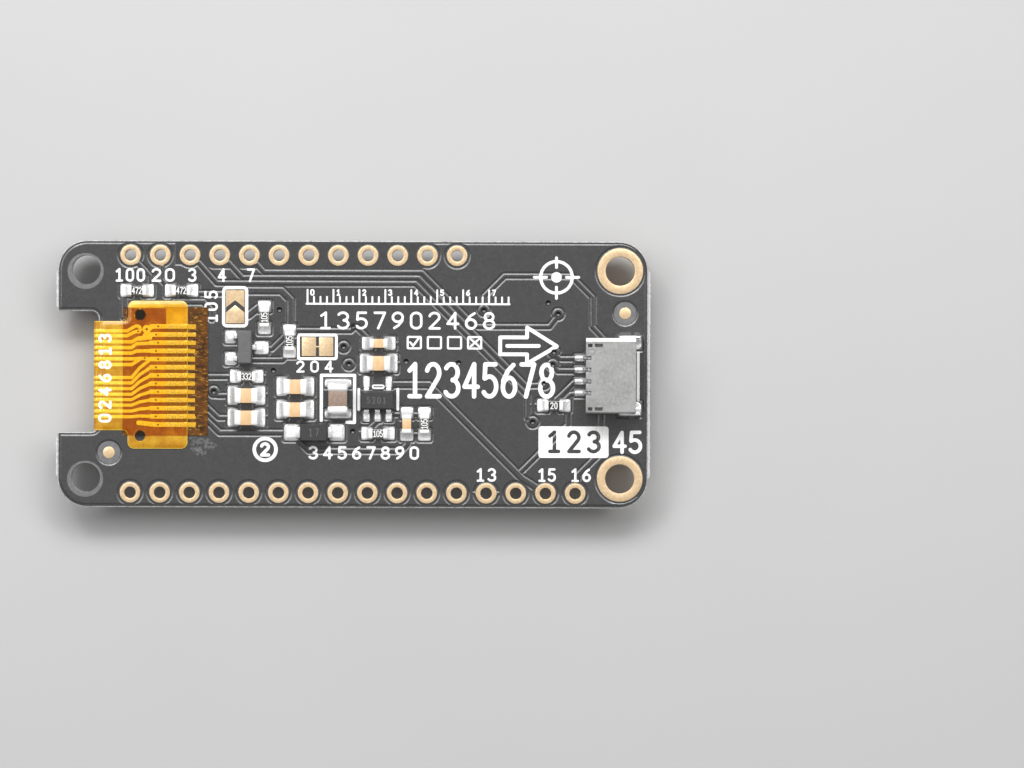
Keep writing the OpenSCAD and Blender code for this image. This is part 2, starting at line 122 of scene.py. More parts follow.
def wave(x, y, seed, scale=1.0):
    """Smooth made-up unevenness between about -1 and 1."""
    rng = np.random.default_rng(seed)
    out = 0
    for k in range(6):
        a, p = rng.uniform(0, 2 * math.pi, 2)
        f = scale * (0.7 + 0.55 * k)
        out = out + np.sin(f * (math.cos(a) * x + math.sin(a) * y) + p) / (1 + 0.5 * k)
    return out / 2.6


def sm(t):
    t = np.clip(t, 0, 1)
    return t * t * (3 - 2 * t)


# ------------------------------------------------------------------ distances to plane shapes
def d_disc(x, y, cx, cy, r):
    return np.hypot(x - cx, y - cy) - r


def d_seg(x, y, a, b, hw):
    ax, ay = a
    dx, dy = b[0] - ax, b[1] - ay
    n = dx * dx + dy * dy
    t = np.clip(((x - ax) * dx + (y - ay) * dy) / max(n, 1e-12), 0, 1)
    return np.hypot(x - ax - t * dx, y - ay - t * dy) - hw


def d_rect(x, y, cx, cy, w, h, r=0.0, turn=0.0):
    c, s = math.cos(math.radians(turn)), math.sin(math.radians(turn))
    u, v = (x - cx) * c + (y - cy) * s, -(x - cx) * s + (y - cy) * c
    qx, qy = np.abs(u) - w / 2 + r, np.abs(v) - h / 2 + r
    return np.hypot(np.maximum(qx, 0), np.maximum(qy, 0)) + np.minimum(np.maximum(qx, qy), 0) - r


def d_poly(x, y, pts):
    best = np.full(np.shape(x), 1e9)
    inside = np.zeros(np.shape(x), bool)
    n = len(pts)
    for i in range(n):
        a, b = pts[i], pts[(i + 1) % n]
        best = np.minimum(best, d_seg(x, y, a, b, 0))
        if a[1] != b[1]:
            cond = (a[1] > y) != (b[1] > y)
            xi = (b[0] - a[0]) * (y - a[1]) / (b[1] - a[1]) + a[0]
            inside ^= cond & (x < xi)
    return np.where(inside, -best, best)


class Grid:
    """Distances sampled over a rectangle, with outlines read off at any level."""

    def __init__(self, x0, x1, y0, y1, h):
        self.x0, self.y0, self.h = x0, y0, h
        self.nx, self.ny = int(round((x1 - x0) / h)) + 1, int(round((y1 - y0) / h)) + 1
        self.x = x0 + h * np.arange(self.nx)
        self.y = y0 + h * np.arange(self.ny)

    def blank(self, lim):
        return np.full((self.ny, self.nx), float(lim))

    def union(self, f, fn, box, lim):
        """f = min(f, fn) near box = (x0, y0, x1, y1)."""
        i0 = max(0, int((box[0] - lim - self.x0) / self.h))
        i1 = min(self.nx, int((box[2] + lim - self.x0) / self.h) + 2)
        j0 = max(0, int((box[1] - lim - self.y0) / self.h))
        j1 = min(self.ny, int((box[3] + lim - self.y0) / self.h) + 2)
        if i1 <= i0 or j1 <= j0:
            return
        xx, yy = np.meshgrid(self.x[i0:i1], self.y[j0:j1])
        f[j0:j1, i0:i1] = np.minimum(f[j0:j1, i0:i1], fn(xx, yy))

    def sample(self, f, x, y):
        u = np.clip((np.asarray(x) - self.x0) / self.h, 0, self.nx - 1.001)
        v = np.clip((np.asarray(y) - self.y0) / self.h, 0, self.ny - 1.001)
        i, j = u.astype(int), v.astype(int)
        a, b = u - i, v - j
        return (f[j, i] * (1 - a) * (1 - b) + f[j, i + 1] * a * (1 - b)
                + f[j + 1, i] * (1 - a) * b + f[j + 1, i + 1] * a * b)

    def slope(self, f, x, y):
        e = self.h * 0.6
        gx = self.sample(f, x + e, y) - self.sample(f, x - e, y)
        gy = self.sample(f, x, y + e) - self.sample(f, x, y - e)
        n = np.maximum(np.hypot(gx, gy), 1e-9)
        return gx / n, gy / n

    def lines(self, f, level, tol=0.004, keep=None):
        """Polylines where f equals level, as arrays of points; closed ones end where they start."""
        g = f - level
        g = np.where(np.abs(g) < 1e-9, 1e-9, g)
        s = g > 0
        code = (s[:-1, :-1].astype(int) + 2 * s[:-1, 1:] + 4 * s[1:, 1:] + 8 * s[1:, :-1])
        js, is_ = np.nonzero((code > 0) & (code < 15))
        table = {1: [(3, 0)], 2: [(0, 1)], 3: [(3, 1)], 4: [(1, 2)], 6: [(0, 2)], 7: [(3, 2)],
                 8: [(2, 3)], 9: [(2, 0)], 11: [(2, 1)], 12: [(1, 3)], 13: [(1, 0)], 14: [(0, 3)],
                 5: [(3, 0), (1, 2)], 10: [(0, 1), (2, 3)]}
        nx = self.nx
        link = {}

        def key(j, i, e):
            if e == 0:
                return (j * nx + i) * 2
            if e == 1:
                return (j * nx + i + 1) * 2 + 1
            if e == 2:
                return ((j + 1) * nx + i) * 2
            return (j * nx + i) * 2 + 1

        for j, i in zip(js.tolist(), is_.tolist()):
            for a, b in table[code[j, i]]:
                ka, kb = key(j, i, a), key(j, i, b)
                link.setdefault(ka, []).append(kb)
                link.setdefault(kb, []).append(ka)

        def point(k):
            n, side = divmod(k, 2)
            j, i = divmod(n, nx)
            if side == 0:
                t = g[j, i] / (g[j, i] - g[j, i + 1])
                return (self.x[i] + t * self.h, self.y[j])
            t = g[j, i] / (g[j, i] - g[j + 1, i])
            return (self.x[i], self.y[j] + t * self.h)

        out, used = [], set()
        starts = [k for k in link if len(link[k]) == 1] + list(link)
        for k0 in starts:
            if k0 in used:
                continue
            chain, prev, cur = [k0], None, k0
            used.add(k0)
            while True:
                nxt = [k for k in link[cur] if k != prev]
                if not nxt:
                    break
                n = nxt[0]
                if n == k0:
                    chain.append(k0)
                    break
                if n in used:
                    if len(nxt) > 1 and nxt[1] not in used:
                        n = nxt[1]
                    else:
                        break
                used.add(n)
                chain.append(n)
                prev, cur = cur, n
            if len(chain) > 2:
                out.append(simplify(np.array([point(k) for k in chain]), tol))
        return out


def simplify(p, tol):
    closed = np.allclose(p[0], p[-1])
    if closed and len(p) > 4:
        m = len(p) // 2
        return np.vstack([_dp(p[: m + 1], tol)[:-1], _dp(p[m:], tol)])
    return _dp(p, tol)


def _dp(p, tol):
    keep = np.zeros(len(p), bool)
    keep[0] = keep[-1] = True
    todo = [(0, len(p) - 1)]
    while todo:
        a, b = todo.pop()
        if b - a < 2:
            continue
        d = p[b] - p[a]
        n = math.hypot(d[0], d[1])
        q = p[a + 1:b] - p[a]
        if n < 1e-12:
            dist = np.hypot(q[:, 0], q[:, 1])
        else:
            dist = np.abs(q[:, 0] * d[1] - q[:, 1] * d[0]) / n
        k = int(dist.argmax())
        if dist[k] > tol:
            k += a + 1
            keep[k] = True
            todo += [(a, k), (k, b)]
    return p[keep]


def circle_pts(cx, cy, r, n):
    a = np.linspace(0, 2 * math.pi, n, endpoint=False)
    p = np.column_stack([cx + r * np.cos(a), cy + r * np.sin(a)])
    return np.vstack([p, p[:1]])


def triangulate(lines, points=()):
    """Triangles over the plane that follow every given line."""
    verts, edges = [], []
    for ln in lines:
        ln = np.asarray(ln)
        closed = len(ln) > 2 and np.allclose(ln[0], ln[-1])
        q = ln[:-1] if closed else ln
        b = len(verts)
        verts += [Vector((float(x), float(y))) for x, y in q]
        edges += [(b + i, b + i + 1) for i in range(len(q) - 1)]
        if closed:
            edges.append((b + len(q) - 1, b))
    verts += [Vector((float(x), float(y))) for x, y in points]
    r = delaunay_2d_cdt(verts, edges, [], 0, 1e-5, False)
    vs = np.array([(v[0], v[1]) for v in r[0]])
    ts = np.array([f for f in r[2] if len(f) == 3], int)
    a = vs[ts]
    area = ((a[:, 1, 0] - a[:, 0, 0]) * (a[:, 2, 1] - a[:, 0, 1])
            - (a[:, 2, 0] - a[:, 0, 0]) * (a[:, 1, 1] - a[:, 0, 1]))
    flip = area < 0
    ts[flip] = ts[flip][:, ::-1]
    return vs, ts[np.abs(area) > 1e-9]


def rim(ts):
    """Directed edges that only one triangle uses."""
    e = np.vstack([ts[:, [0, 1]], ts[:, [1, 2]], ts[:, [2, 0]]])
    have = set(map(tuple, e.tolist()))
    return [(a, b) for a, b in e.tolist() if (b, a) not in have]


# ------------------------------------------------------------------ plain figures, drawn as strokes
def arc(cx, cy, rx, ry, a0, a1, n=8):
    t = np.radians(np.linspace(a0, a1, 2 * n))
    return [(cx + rx * math.cos(x), cy + ry * math.sin(x)) for x in t]


FIGURES = {
    "0": [arc(0.3, 0.72, 0.28, 0.28, 0, 180) + arc(0.3, 0.28, 0.28, 0.28, 180, 360) + [(0.58, 0.72)]],
    "1": [[(0.1, 0.8), (0.34, 1.0), (0.34, 0.0)], [(0.1, 0.0), (0.56, 0.0)]],
    "2": [arc(0.3, 0.73, 0.27, 0.27, 165, -40, 9) + [(0.04, 0.0), (0.58, 0.0)]],
    "3": [arc(0.28, 0.75, 0.27, 0.25, 150, -80, 9) + arc(0.28, 0.26, 0.3, 0.26, 80, -150, 9)],
    "4": [[(0.44, 0.0), (0.44, 1.0), (0.02, 0.3), (0.6, 0.3)]],
    "5": [[(0.54, 1.0), (0.1, 1.0), (0.07, 0.56)] + arc(0.28, 0.31, 0.3, 0.31, 120, -145, 11)],
    "6": [[(0.5, 0.98), (0.26, 0.8), (0.06, 0.5)] + arc(0.31, 0.29, 0.27, 0.29, 160, 520, 14)],
    "7": [[(0.03, 1.0), (0.58, 1.0), (0.22, 0.0)]],
    "8": [arc(0.3, 0.75, 0.23, 0.24, 270, 630, 14), arc(0.3, 0.26, 0.28, 0.26, 90, 450, 14)],
    "9": [[(0.1, 0.02), (0.34, 0.2), (0.54, 0.5)] + arc(0.29, 0.71, 0.27, 0.29, -20, 340, 14)],
    "-": [[(0.1, 0.5), (0.5, 0.5)]],
    ".": [[(0.3, 0.03), (0.31, 0.03)]],
}


def strokes(text, x, y, height, pitch=None, turn=0.0, align="left", width=None):
    """Polylines for a row of figures whose lower left corner is (x, y)."""
    pitch = pitch or height * 0.86
    width = width or height
    total = pitch * (len(text) - 1) + 0.6 * width
    off = {"left": 0, "centre": -total / 2, "right": -total}[align]
    c, s = math.cos(math.radians(turn)), math.sin(math.radians(turn))
    out = []
    for k, ch in enumerate(text):
        for line in FIGURES.get(ch, []):
            q = [(off + k * pitch + px * width, py * height) for px, py in line]
            out.append([(x + c * a - s * b, y + s * a + c * b) for a, b in q])
    return out


def inked(lines, hw, extra=()):
    """Flat triangles that cover strokes of half width hw."""
    pts = np.concatenate([np.asarray(q) for q in lines])
    m = 2.5 * hw
    g = Grid(pts[:, 0].min() - m, pts[:, 0].max() + m, pts[:, 1].min() - m, pts[:, 1].max() + m, hw / 3.5)
    f = g.blank(hw * 1.6)
    for q in lines:
        for a, b in zip(q[:-1], q[1:]):
            g.union(f, lambda x, y: d_seg(x, y, a, b, hw),
                    (min(a[0], b[0]), min(a[1], b[1]), max(a[0], b[0]), max(a[1], b[1])), hw * 1.6)
    vs, ts = triangulate(g.lines(f, 0.0, hw * 0.06) + list(extra))
    c = vs[ts].mean(1)
    ts = ts[g.sample(f, c[:, 0], c[:, 1]) < 0]
    used = np.unique(ts)
    remap = np.full(len(vs), -1)
    remap[used] = np.arange(len(used))
    return vs[used], remap[ts]


def prism(b, top, bottom, ts, mat=0):
    """A closed sheet between two sets of points that share their triangles."""
    n = len(top)
    fs = [list(t) for t in ts] + [[n + t[2], n + t[1], n + t[0]] for t in ts]
    fs += [[n + i, n + j, j, i] for i, j in rim(ts)]
    b.add(np.concatenate([top, bottom]), fs, mat)


def ribbon(line, hw, z0, z1, n=5):
    """A closed stroke with round ends; vertices and faces."""
    vs, fs = [], []
    for a, b in zip(line[:-1], line[1:]):
        t = math.atan2(b[1] - a[1], b[0] - a[0])
        ring = [(b[0] + hw * math.cos(t + u), b[1] + hw * math.sin(t + u))
                for u in np.linspace(-math.pi / 2, math.pi / 2, n)]
        ring += [(a[0] + hw * math.cos(t + u), a[1] + hw * math.sin(t + u))
                 for u in np.linspace(math.pi / 2, 3 * math.pi / 2, n)]
        m, base = len(ring), len(vs)
        vs += [(p[0], p[1], z0) for p in ring] + [(p[0], p[1], z1) for p in ring]
        fs.append([base + m + i for i in range(m)])
        fs.append([base + m - 1 - i for i in range(m)])
        fs += [[base + i, base + (i + 1) % m, base + m + (i + 1) % m, base + m + i] for i in range(m)]
    return vs, fs


# ------------------------------------------------------------------ where things are, in millimetres
BL, BW, CR, NX, NY0, NY1, NR = 50.54, 22.86, 2.54, -21.76, -5.0, 5.35, 0.65
PINS = [(-19.05 + 2.54 * i, -10.16) for i in range(16)] + [(-19.05 + 2.54 * i, 10.16) for i in range(12)]
R_AT = [(-18.48, 7.11, 0), (-14.68, 7.12, 0), (-7.58, 4.83, 90), (-5.43, 2.81, 90),
        (-9.09, -0.21, 0), (2.17, -5.07, 0), (6.14, -4.25, 90), (17.21, -2.63, 0)]
C_AT = [(-9.10, -1.85, 0), (-9.10, -3.75, 0), (-4.92, -1.08, 0), (-4.92, -3.04, 0), (2.21, 0.94, 0)]
CS_AT = [(2.21, 2.65, 0), (4.63, -4.26, 90)]
L_AT, D_AT, Q_AT, U_AT = (-1.26, -2.10), (-3.29, -4.98), (-9.23, 2.28), (2.13, -2.21)
CON_Y = -0.06
FINGER_Y = [4.05 - 0.7 * i for i in range(13)]

# tracks: width, then the points they follow
TRACKS = [
    (0.25, [(-8.89, 10.16), (-7.6, 8.74), (5.9, 8.74), (10.5, 4.14), (16.8, 4.14), (17.55, 5.15)]),
    (0.25, [(-11.43, 10.16), (-10.65, 9.55), (-9.45, 8.26), (5.62, 8.26), (14.85, -0.92), (16.3, -0.85)]),
    (0.25, [(-13.97, 10.16), (-13.2, 9.55), (-11.65, 7.8), (5.34, 7.8), (14.75, -1.55), (14.95, -1.75),
            (14.95, -3.65), (15.4, -4.05)]),
    (0.44, [(-9.4, 7.15), (-6.12, 7.15), (-5.35, 6.38), (-5.35, 4.05)]),
    (0.42, [(-9.35, 4.9), (-8.95, 5.05), (-8.2, 5.65), (-7.75, 5.95)]),
    (0.25, [(-19.05, 10.16), (-17.65, 8.7), (-17.4, 8.4), (-17.4, 7.45)]),
    (0.25, [(-16.51, 10.16), (-16.4, 9.5), (-16.4, 8.1), (-15.8, 7.4)]),
    (0.25, [(-13.55, 6.89), (-10.65, 6.89)]),
    (0.25, [(-19.62, 7.0), (-19.62, 4.8)]),
    (0.30, [(-15.3, 6.18), (-12.8, 6.18), (-12.1, 5.48), (-12.1, 4.7)]),
    (0.25, [(11.2, 5.5), (11.2, 6.72), (12.95, 8.47), (18.7, 8.47), (20.5, 6.67), (20.5, 4.15), (21.5, 3.1)]),
    (0.41, [(3.15, -0.86), (6.52, -0.86), (14.53, -8.87), (16.5, -10.1)]),
    (0.25, [(18.1, -2.7), (18.38, -3.35), (18.38, -4.27), (14.38, -8.27)]),
    (0.30, [(21.2, -3.2), (21.2, -6.62), (19.3, -8.52), (19.05, -10.1)]),
    (0.25, [(17.2, 1.92), (17.72, 1.4), (19.3, 1.4)]),
    (0.28, [(17.1, 0.82), (17.58, 0.36), (19.3, 0.36)]),
    (0.25, [(19.3, -0.6), (18.88, -0.66), (18.0, -1.54), (17.4, -2.1), (17.4, -2.45)]),
    (0.25, [(19.3, -1.64), (18.66, -1.64), (18.15, -2.15)]),
    (0.25, [(-12.6, -0.21), (-10.3, -0.21)]),
    (0.25, [(-11.9, -1.52), (-11.58, -1.84), (-10.45, -1.84)]),
    (0.25, [(-12.55, -2.7), (-11.48, -3.72), (-10.45, -3.72)]),
    (0.30, [(-12.55, -3.9), (-11.38, -5.0), (-5.5, -5.0)]),
    (0.28, [(-5.28, -5.0), (-3.75, -6.53), (4.1, -6.53), (4.65, -5.98), (4.65, -5.3)]),
    (0.25, [(-7.75, 2.2), (-6.95, 2.2), (-5.9, 3.22), (-5.45, 3.65)]),
    (0.25, [(-9.9, 1.22), (-6.05, 1.22), (-5.45, 1.85)]),
    (0.25, [(-5.35, 3.75), (-0.2, 3.75), (0.05, 4.0)]),
    (0.25, [(0.05, 4.05), (0.4, 4.0), (1.2, 3.2), (1.4, 2.8)]),
    (0.22, [(2.15, -3.6), (2.15, -3.95), (1.35, -4.7)]),
    (0.22, [(3.15, -3.42), (4.4, -3.42)]),
    (0.22, [(4.65, -3.42), (6.1, -3.42)]),
    (0.22, [(4.65, -5.12), (6.15, -5.12)]),
]
# short links from a pad to the copper around it
SPOKES = [(0.25, (-8.2, -0.21), (-7.3, -0.21)), (0.25, (-8.2, -1.76), (-7.15, -1.76)),
          (0.25, (-8.2, -3.66), (-7.15, -3.66)), (0.22, (11.43 - 1.25, -10.16), (11.43 + 1.25, -10.16)),
          (0.25, (-9.1, 1.1), (-9.1, 0.2)), (0.25, (3.2, 0.94), (4.2, 0.94)), (0.25, (3.2, 2.65), (4.0, 2.65)),
          (0.22, (0.3, -5.0), (0.95, -5.0)), (0.25, (15.3, -2.6), (16.0, -2.6)),
          (0.3, (23.9, 2.78), (23.9, 3.8)), (0.3, (23.9, -2.9), (23.9, -3.9))]
VIAS_PLAIN = [(-6.3, 5.5), (0.05, 4.05), (16.7, 6.15), (4.55, 1.1), (-6.8, 0.3), (0.0, -4.9), (9.05, 1.0)]
VIAS_RING = [(-0.8, 2.35), (-0.35, 0.85), (11.2, 5.5), (17.55, 5.2), (17.2, 1.95), (17.1, 0.85),
             (16.35, -0.75), (15.4, -4.05), (-11.9, -1.52)]


def outline(i=0.0, n=12):
    """The board's outline, moved inward by i."""
    hx, hy, r = BL / 2 - i, BW / 2 - i, CR - i
    p = []
    p += arc(hx - r, -hy + r, r, r, -90, 0, n)
    p += arc(hx - r, hy - r, r, r, 0, 90, n)
    p += arc(-hx + r, hy - r, r, r, 90, 180, n)
    nr = NR + i
    p += [(-hx, NY1 + i)]
    p += [(NX - NR, NY1 + i)] + arc(NX - NR, NY1 - NR, nr, nr, 90, 0, 8)[1:]
    p += arc(NX - NR, NY0 + NR, nr, nr, 0, -90, 8)
    p += [(-hx, NY0 - i)]
    p += arc(-hx + r, -hy + r, r, r, 180, 270, n)
    return np.array(p + [p[0]])


def d_board(x, y):
    return np.maximum(d_rect(x, y, 0, 0, BL, BW, CR),
                      -d_rect(x, y, (NX - 40) / 2, (NY0 + NY1) / 2, NX + 40, NY1 - NY0, NR))


def chip_pads(at, a, span, w):
    """The two pads of a chip whose half length is a."""
    out = []
    for s in (-1, 1):
        cx = s * (a - 0.35 + span / 2) / 2
        t = math.radians(at[2])
        out.append((at[0] + cx * math.cos(t), at[1] + cx * math.sin(t), span / 2 - a + 0.35, w, at[2]))
    return out


PADS = []                                   # cx, cy, length, width, turn
for p in R_AT:
    PADS += chip_pads(p, 0.8, 2.86, 1.1)
for p in CS_AT:
    PADS += chip_pads(p, 0.8, 2.88, 1.12)
for p in C_AT:
    PADS += chip_pads(p, 1.025, 3.23, 1.62)
PADS += chip_pads((L_AT[0], L_AT[1], 90), 1.3, 3.34, 2.28)
PADS += [(D_AT[0] + s * 1.925, D_AT[1], 1.35, 1.44, 0) for s in (-1, 1)]
PADS += [(Q_AT[0] - 1.22, Q_AT[1] + y, 1.0, 1.08, 0) for y in (0.87, -0.99)]
PADS += [(Q_AT[0] + 1.37, Q_AT[1] - 0.05, 1.3, 1.08, 0)]
PADS += [(U_AT[0] + x, U_AT[1] + 1.525, 0.6, 1.05, 0) for x in (-0.95, 0.95)]
PADS += [(U_AT[0] + x, U_AT[1] - 1.425, 0.6, 0.85, 0) for x in (-0.95, 0, 0.95)]
PADS += [(19.48, CON_Y + i, 1.04, 0.6, 0) for i in (-1.5, -0.5, 0.5, 1.5)]
PADS += [(23.7, CON_Y + s * 2.84, 2.0, 1.24, 0) for s in (-1, 1)]

# ------------------------------------------------------------------ the board's top, as distances
G = Grid(-25.6, 25.6, -11.8, 11.8, 0.04)
LIM = 0.7
cu, clear = G.blank(LIM), G.blank(LIM)      # all copper; copper that the pour keeps away from
opening = G.blank(LIM)                      # windows in the solder mask


def copper(fn, box, gap=0.2):
    G.union(cu, fn, box, LIM)
    if gap is not None:
        G.union(clear, lambda x, y: fn(x, y) - (gap - 0.2), box, LIM)


for px, py in PINS:
    b = (px - 1, py - 1, px + 1, py + 1)
    copper(lambda x, y: d_disc(x, y, px, py, 0.875), b, 0.27)
    G.union(opening, lambda x, y: d_disc(x, y, px, py, 0.905), b, LIM)
for sy in (-1, 1):
    b = (22.86 - 2, sy * 8.89 - 2, 22.86 + 2, sy * 8.89 + 2)
    copper(lambda x, y: d_disc(x, y, 22.86, sy * 8.89, 1.95), b, 0.22)
    G.union(opening, lambda x, y: d_disc(x, y, 22.86, sy * 8.89, 1.985), b, LIM)
    b = (-22.86 - 2, sy * 8.89 - 2, -22.86 + 2, sy * 8.89 + 2)
    G.union(clear, lambda x, y: d_disc(x, y, -22.88, sy * 8.89 - 0.05, 1.15), b, LIM)
    G.union(opening, lambda x, y: d_disc(x, y, -22.9, sy * 8.89 - 0.1, 1.57), b, LIM)
for fx, fy in ((23.29, 5.28), (-20.86, -6.75)):
    b = (fx - 1, fy - 1, fx + 1, fy + 1)
    G.union(cu, lambda x, y: d_disc(x, y, fx, fy, 0.5), b, LIM)
    G.union(clear, lambda x, y: d_disc(x, y, fx, fy, 0.9), b, LIM)
    G.union(opening, lambda x, y: d_disc(x, y, fx, fy, 0.98), b, LIM)
for cx, cy, w, h, t in PADS:
    b = (cx - w, cy - h, cx + w, cy + h)
    copper(lambda x, y: d_rect(x, y, cx, cy, w, h, 0.06, t), b)
    G.union(opening, lambda x, y: d_rect(x, y, cx, cy, w + 0.06, h + 0.06, 0.09, t), b, LIM)
for fy in FINGER_Y:
    b = (-16.1, fy - 0.3, -13.3, fy + 0.3)
    copper(lambda x, y: d_rect(x, y, -14.7, fy, 2.7, 0.4, 0.03), b)
    G.union(opening, lambda x, y: d_rect(x, y, -14.7, fy, 2.76, 0.46, 0.04), b, LIM)
b = (-10.9, 4.3, -9.2, 7.2)
copper(lambda x, y: d_rect(x, y, -10.09, 5.75, 1.6, 2.84, 0.03), b)
for sy, q in ((-1, [(-0.83, -1.45), (0.83, -1.45), (0.83, -0.5), (0, 0.14), (-0.83, -0.5)]),
              (1, [(-0.83, 1.45), (0.83, 1.45), (0.83, -0.1), (0, 0.56), (-0.83, -0.1)])):
    G.union(opening, lambda x, y: d_poly(x + 10.09, y - 5.75, q), b, LIM)
for s in (-1, 1):
    b = (-4.4, 1.5, -1.6, 3.2)
    copper(lambda x, y: d_rect(x, y, -3.03 + s * 0.74, 2.35, 1.2, 1.6, 0.03), b)
    G.union(opening, lambda x, y: d_rect(x, y, -3.03 + s * 0.74, 2.35, 1.26, 1.66, 0.04), b, LIM)
G.union(opening, lambda x, y: d_rect(x, y, -3.03, 2.35, 0.5, 0.17, 0.02), (-3.4, 2.1, -2.6, 2.6), LIM)
for w, path in TRACKS:
    for a, c in zip(path[:-1], path[1:]):
        b = (min(a[0], c[0]), min(a[1], c[1]), max(a[0], c[0]), max(a[1], c[1]))
        copper(lambda x, y: d_seg(x, y, a, c, w / 2), b)
for w, a, c in SPOKES:
    b = (min(a[0], c[0]), min(a[1], c[1]), max(a[0], c[0]), max(a[1], c[1]))
    copper(lambda x, y: d_seg(x, y, a, c, w / 2), b, None)
for vx, vy in VIAS_RING:
    copper(lambda x, y: d_disc(x, y, vx, vy, 0.43), (vx - 0.5, vy - 0.5, vx + 0.5, vy + 0.5))

GX, GY = np.meshgrid(G.x, G.y)
edge = d_board(GX, GY)                      # below zero on the board
no_pour = d_poly(GX, GY, [(-15.25, 11.9), (-15.25, 9.3), (-13.2, 9.2), (-12.0, 8.95), (5.95, 8.95),
                          (6.35, 9.3), (6.35, 11.9)])
pour = np.maximum(np.maximum(0.2 - clear, edge + 0.3), -no_pour)
level = np.minimum(cu, pour)                # below zero where there is copper under the mask
L0, L1 = -0.05, 0.07                        # where the mask's slope beside copper starts and ends


def mask_z(x, y):
    """Height of the board's top."""
    d = G.sample(level, x, y)
    z = Z_CU - RELIEF * np.clip((d - L0) / (L1 - L0), 0, 1)
    for vx, vy in VIAS_PLAIN + VIAS_RING:
        r = np.hypot(x - vx, y - vy)
        z = z - 0.085 * (1 - np.clip((r - 0.165) / 0.07, 0, 1)) - 0.06 * (1 - np.clip(r / 0.165, 0, 1))
    w = np.clip(-G.sample(opening, x, y) / 0.012, 0, 1)
    z = z * (1 - w) + (Z_B1 + 0.001) * w
    e = -G.sample(edge, x, y)
    return z - 0.075 * np.clip(1 - e / 0.1, 0, 1) ** 1.5


# ------------------------------------------------------------------ materials
def grey(v):
    return (v, v, v, 1.0)


def rgb(r, g, b):
    """A colour from its 0-255 screen values."""
    def lin(c):
        c = c / 255
        return c / 12.92 if c <= 0.04045 else ((c + 0.055) / 1.055) ** 2.4
    return (lin(r), lin(g), lin(b), 1.0)


class Mat:
    """A node material: two noises for its colour, one for its roughness, one or two for its relief."""

    def __init__(self, name, base, rough=0.5, metal=0.0):
        self.m = bpy.data.materials.new(name)
        self.m.use_nodes = True
        self.t = self.m.node_tree
        self.bsdf = self.t.nodes["Principled BSDF"]
        self.bsdf.inputs["Base Color"].default_value = base
        self.bsdf.inputs["Roughness"].default_value = rough
        self.bsdf.inputs["Metallic"].default_value = metal
        tc = self.t.nodes.new("ShaderNodeTexCoord")
        self.map = self.t.nodes.new("ShaderNodeMapping")
        self.map.inputs["Scale"].default_value = (1000, 1000, 1000)
        self.t.links.new(tc.outputs["Object"], self.map.inputs["Vector"])
        self.out = self.map.outputs["Vector"]
        self.color = None
        self.normal = None
        self.base, self.rough = base, rough

    def coords(self, sx=1.0, sy=1.0, sz=1.0, rz=0.0):
        if (sx, sy, sz, rz) == (1.0, 1.0, 1.0, 0.0):
            return self.out
        n = self.t.nodes.new("ShaderNodeMapping")
        n.inputs["Scale"].default_value = (sx, sy, sz)
        n.inputs["Rotation"].default_value = (0, 0, math.radians(rz))
        self.t.links.new(self.out, n.inputs["Vector"])
        return n.outputs["Vector"]

    def noise(self, scale, detail=3.0, rough=0.55, stretch=(1.0, 1.0, 1.0), rz=0.0, distortion=0.0):
        n = self.t.nodes.new("ShaderNodeTexNoise")
        n.inputs["Scale"].default_value = scale
        n.inputs["Detail"].default_value = detail
        n.inputs["Roughness"].default_value = rough
        n.inputs["Distortion"].default_value = distortion
        self.t.links.new(self.coords(*stretch, rz), n.inputs["Vector"])
        return n.outputs["Fac"]

    def voronoi(self, scale, stretch=(1.0, 1.0, 1.0)):
        n = self.t.nodes.new("ShaderNodeTexVoronoi")
        n.inputs["Scale"].default_value = scale
        self.t.links.new(self.coords(*stretch), n.inputs["Vector"])
        return n.outputs["Distance"]

    def ramp(self, fac, lo=0.35, hi=0.65, a=0.0, b=1.0):
        n = self.t.nodes.new("ShaderNodeMapRange")
        n.inputs["From Min"].default_value = lo
        n.inputs["From Max"].default_value = hi
        n.inputs["To Min"].default_value = a
        n.inputs["To Max"].default_value = b
        self.t.links.new(fac, n.inputs["Value"])
        return n.outputs["Result"]

    def vary(self, fac, other, amount=1.0, lo=0.35, hi=0.65):
        """Mixes another colour in where fac is high."""
        n = self.t.nodes.new("ShaderNodeMix")
        n.data_type = "RGBA"
        self.t.links.new(self.ramp(fac, lo, hi, 0.0, amount), n.inputs["Factor"])
        if self.color is None:
            n.inputs[6].default_value = self.base
        else:
            self.t.links.new(self.color, n.inputs[6])
        n.inputs[7].default_value = other
        self.color = n.outputs[2]
        self.t.links.new(self.color, self.bsdf.inputs["Base Color"])
        return self

    def shine(self, fac, a, b, lo=0.35, hi=0.65):
        self.t.links.new(self.ramp(fac, lo, hi, a, b), self.bsdf.inputs["Roughness"])
        return self

    def bump(self, fac, depth_mm, strength=1.0):
        n = self.t.nodes.new("ShaderNodeBump")
        n.inputs["Distance"].default_value = depth_mm * MM
        n.inputs["Strength"].default_value = strength
        self.t.links.new(fac, n.inputs["Height"])
        if self.normal is not None:
            self.t.links.new(self.normal, n.inputs["Normal"])
        self.normal = n.outputs["Normal"]
        self.t.links.new(self.normal, self.bsdf.inputs["Normal"])
        return self

    def set(self, **kw):
        for k, v in kw.items():
            self.bsdf.inputs[k.replace("_", " ")].default_value = v
        return self


M = {}


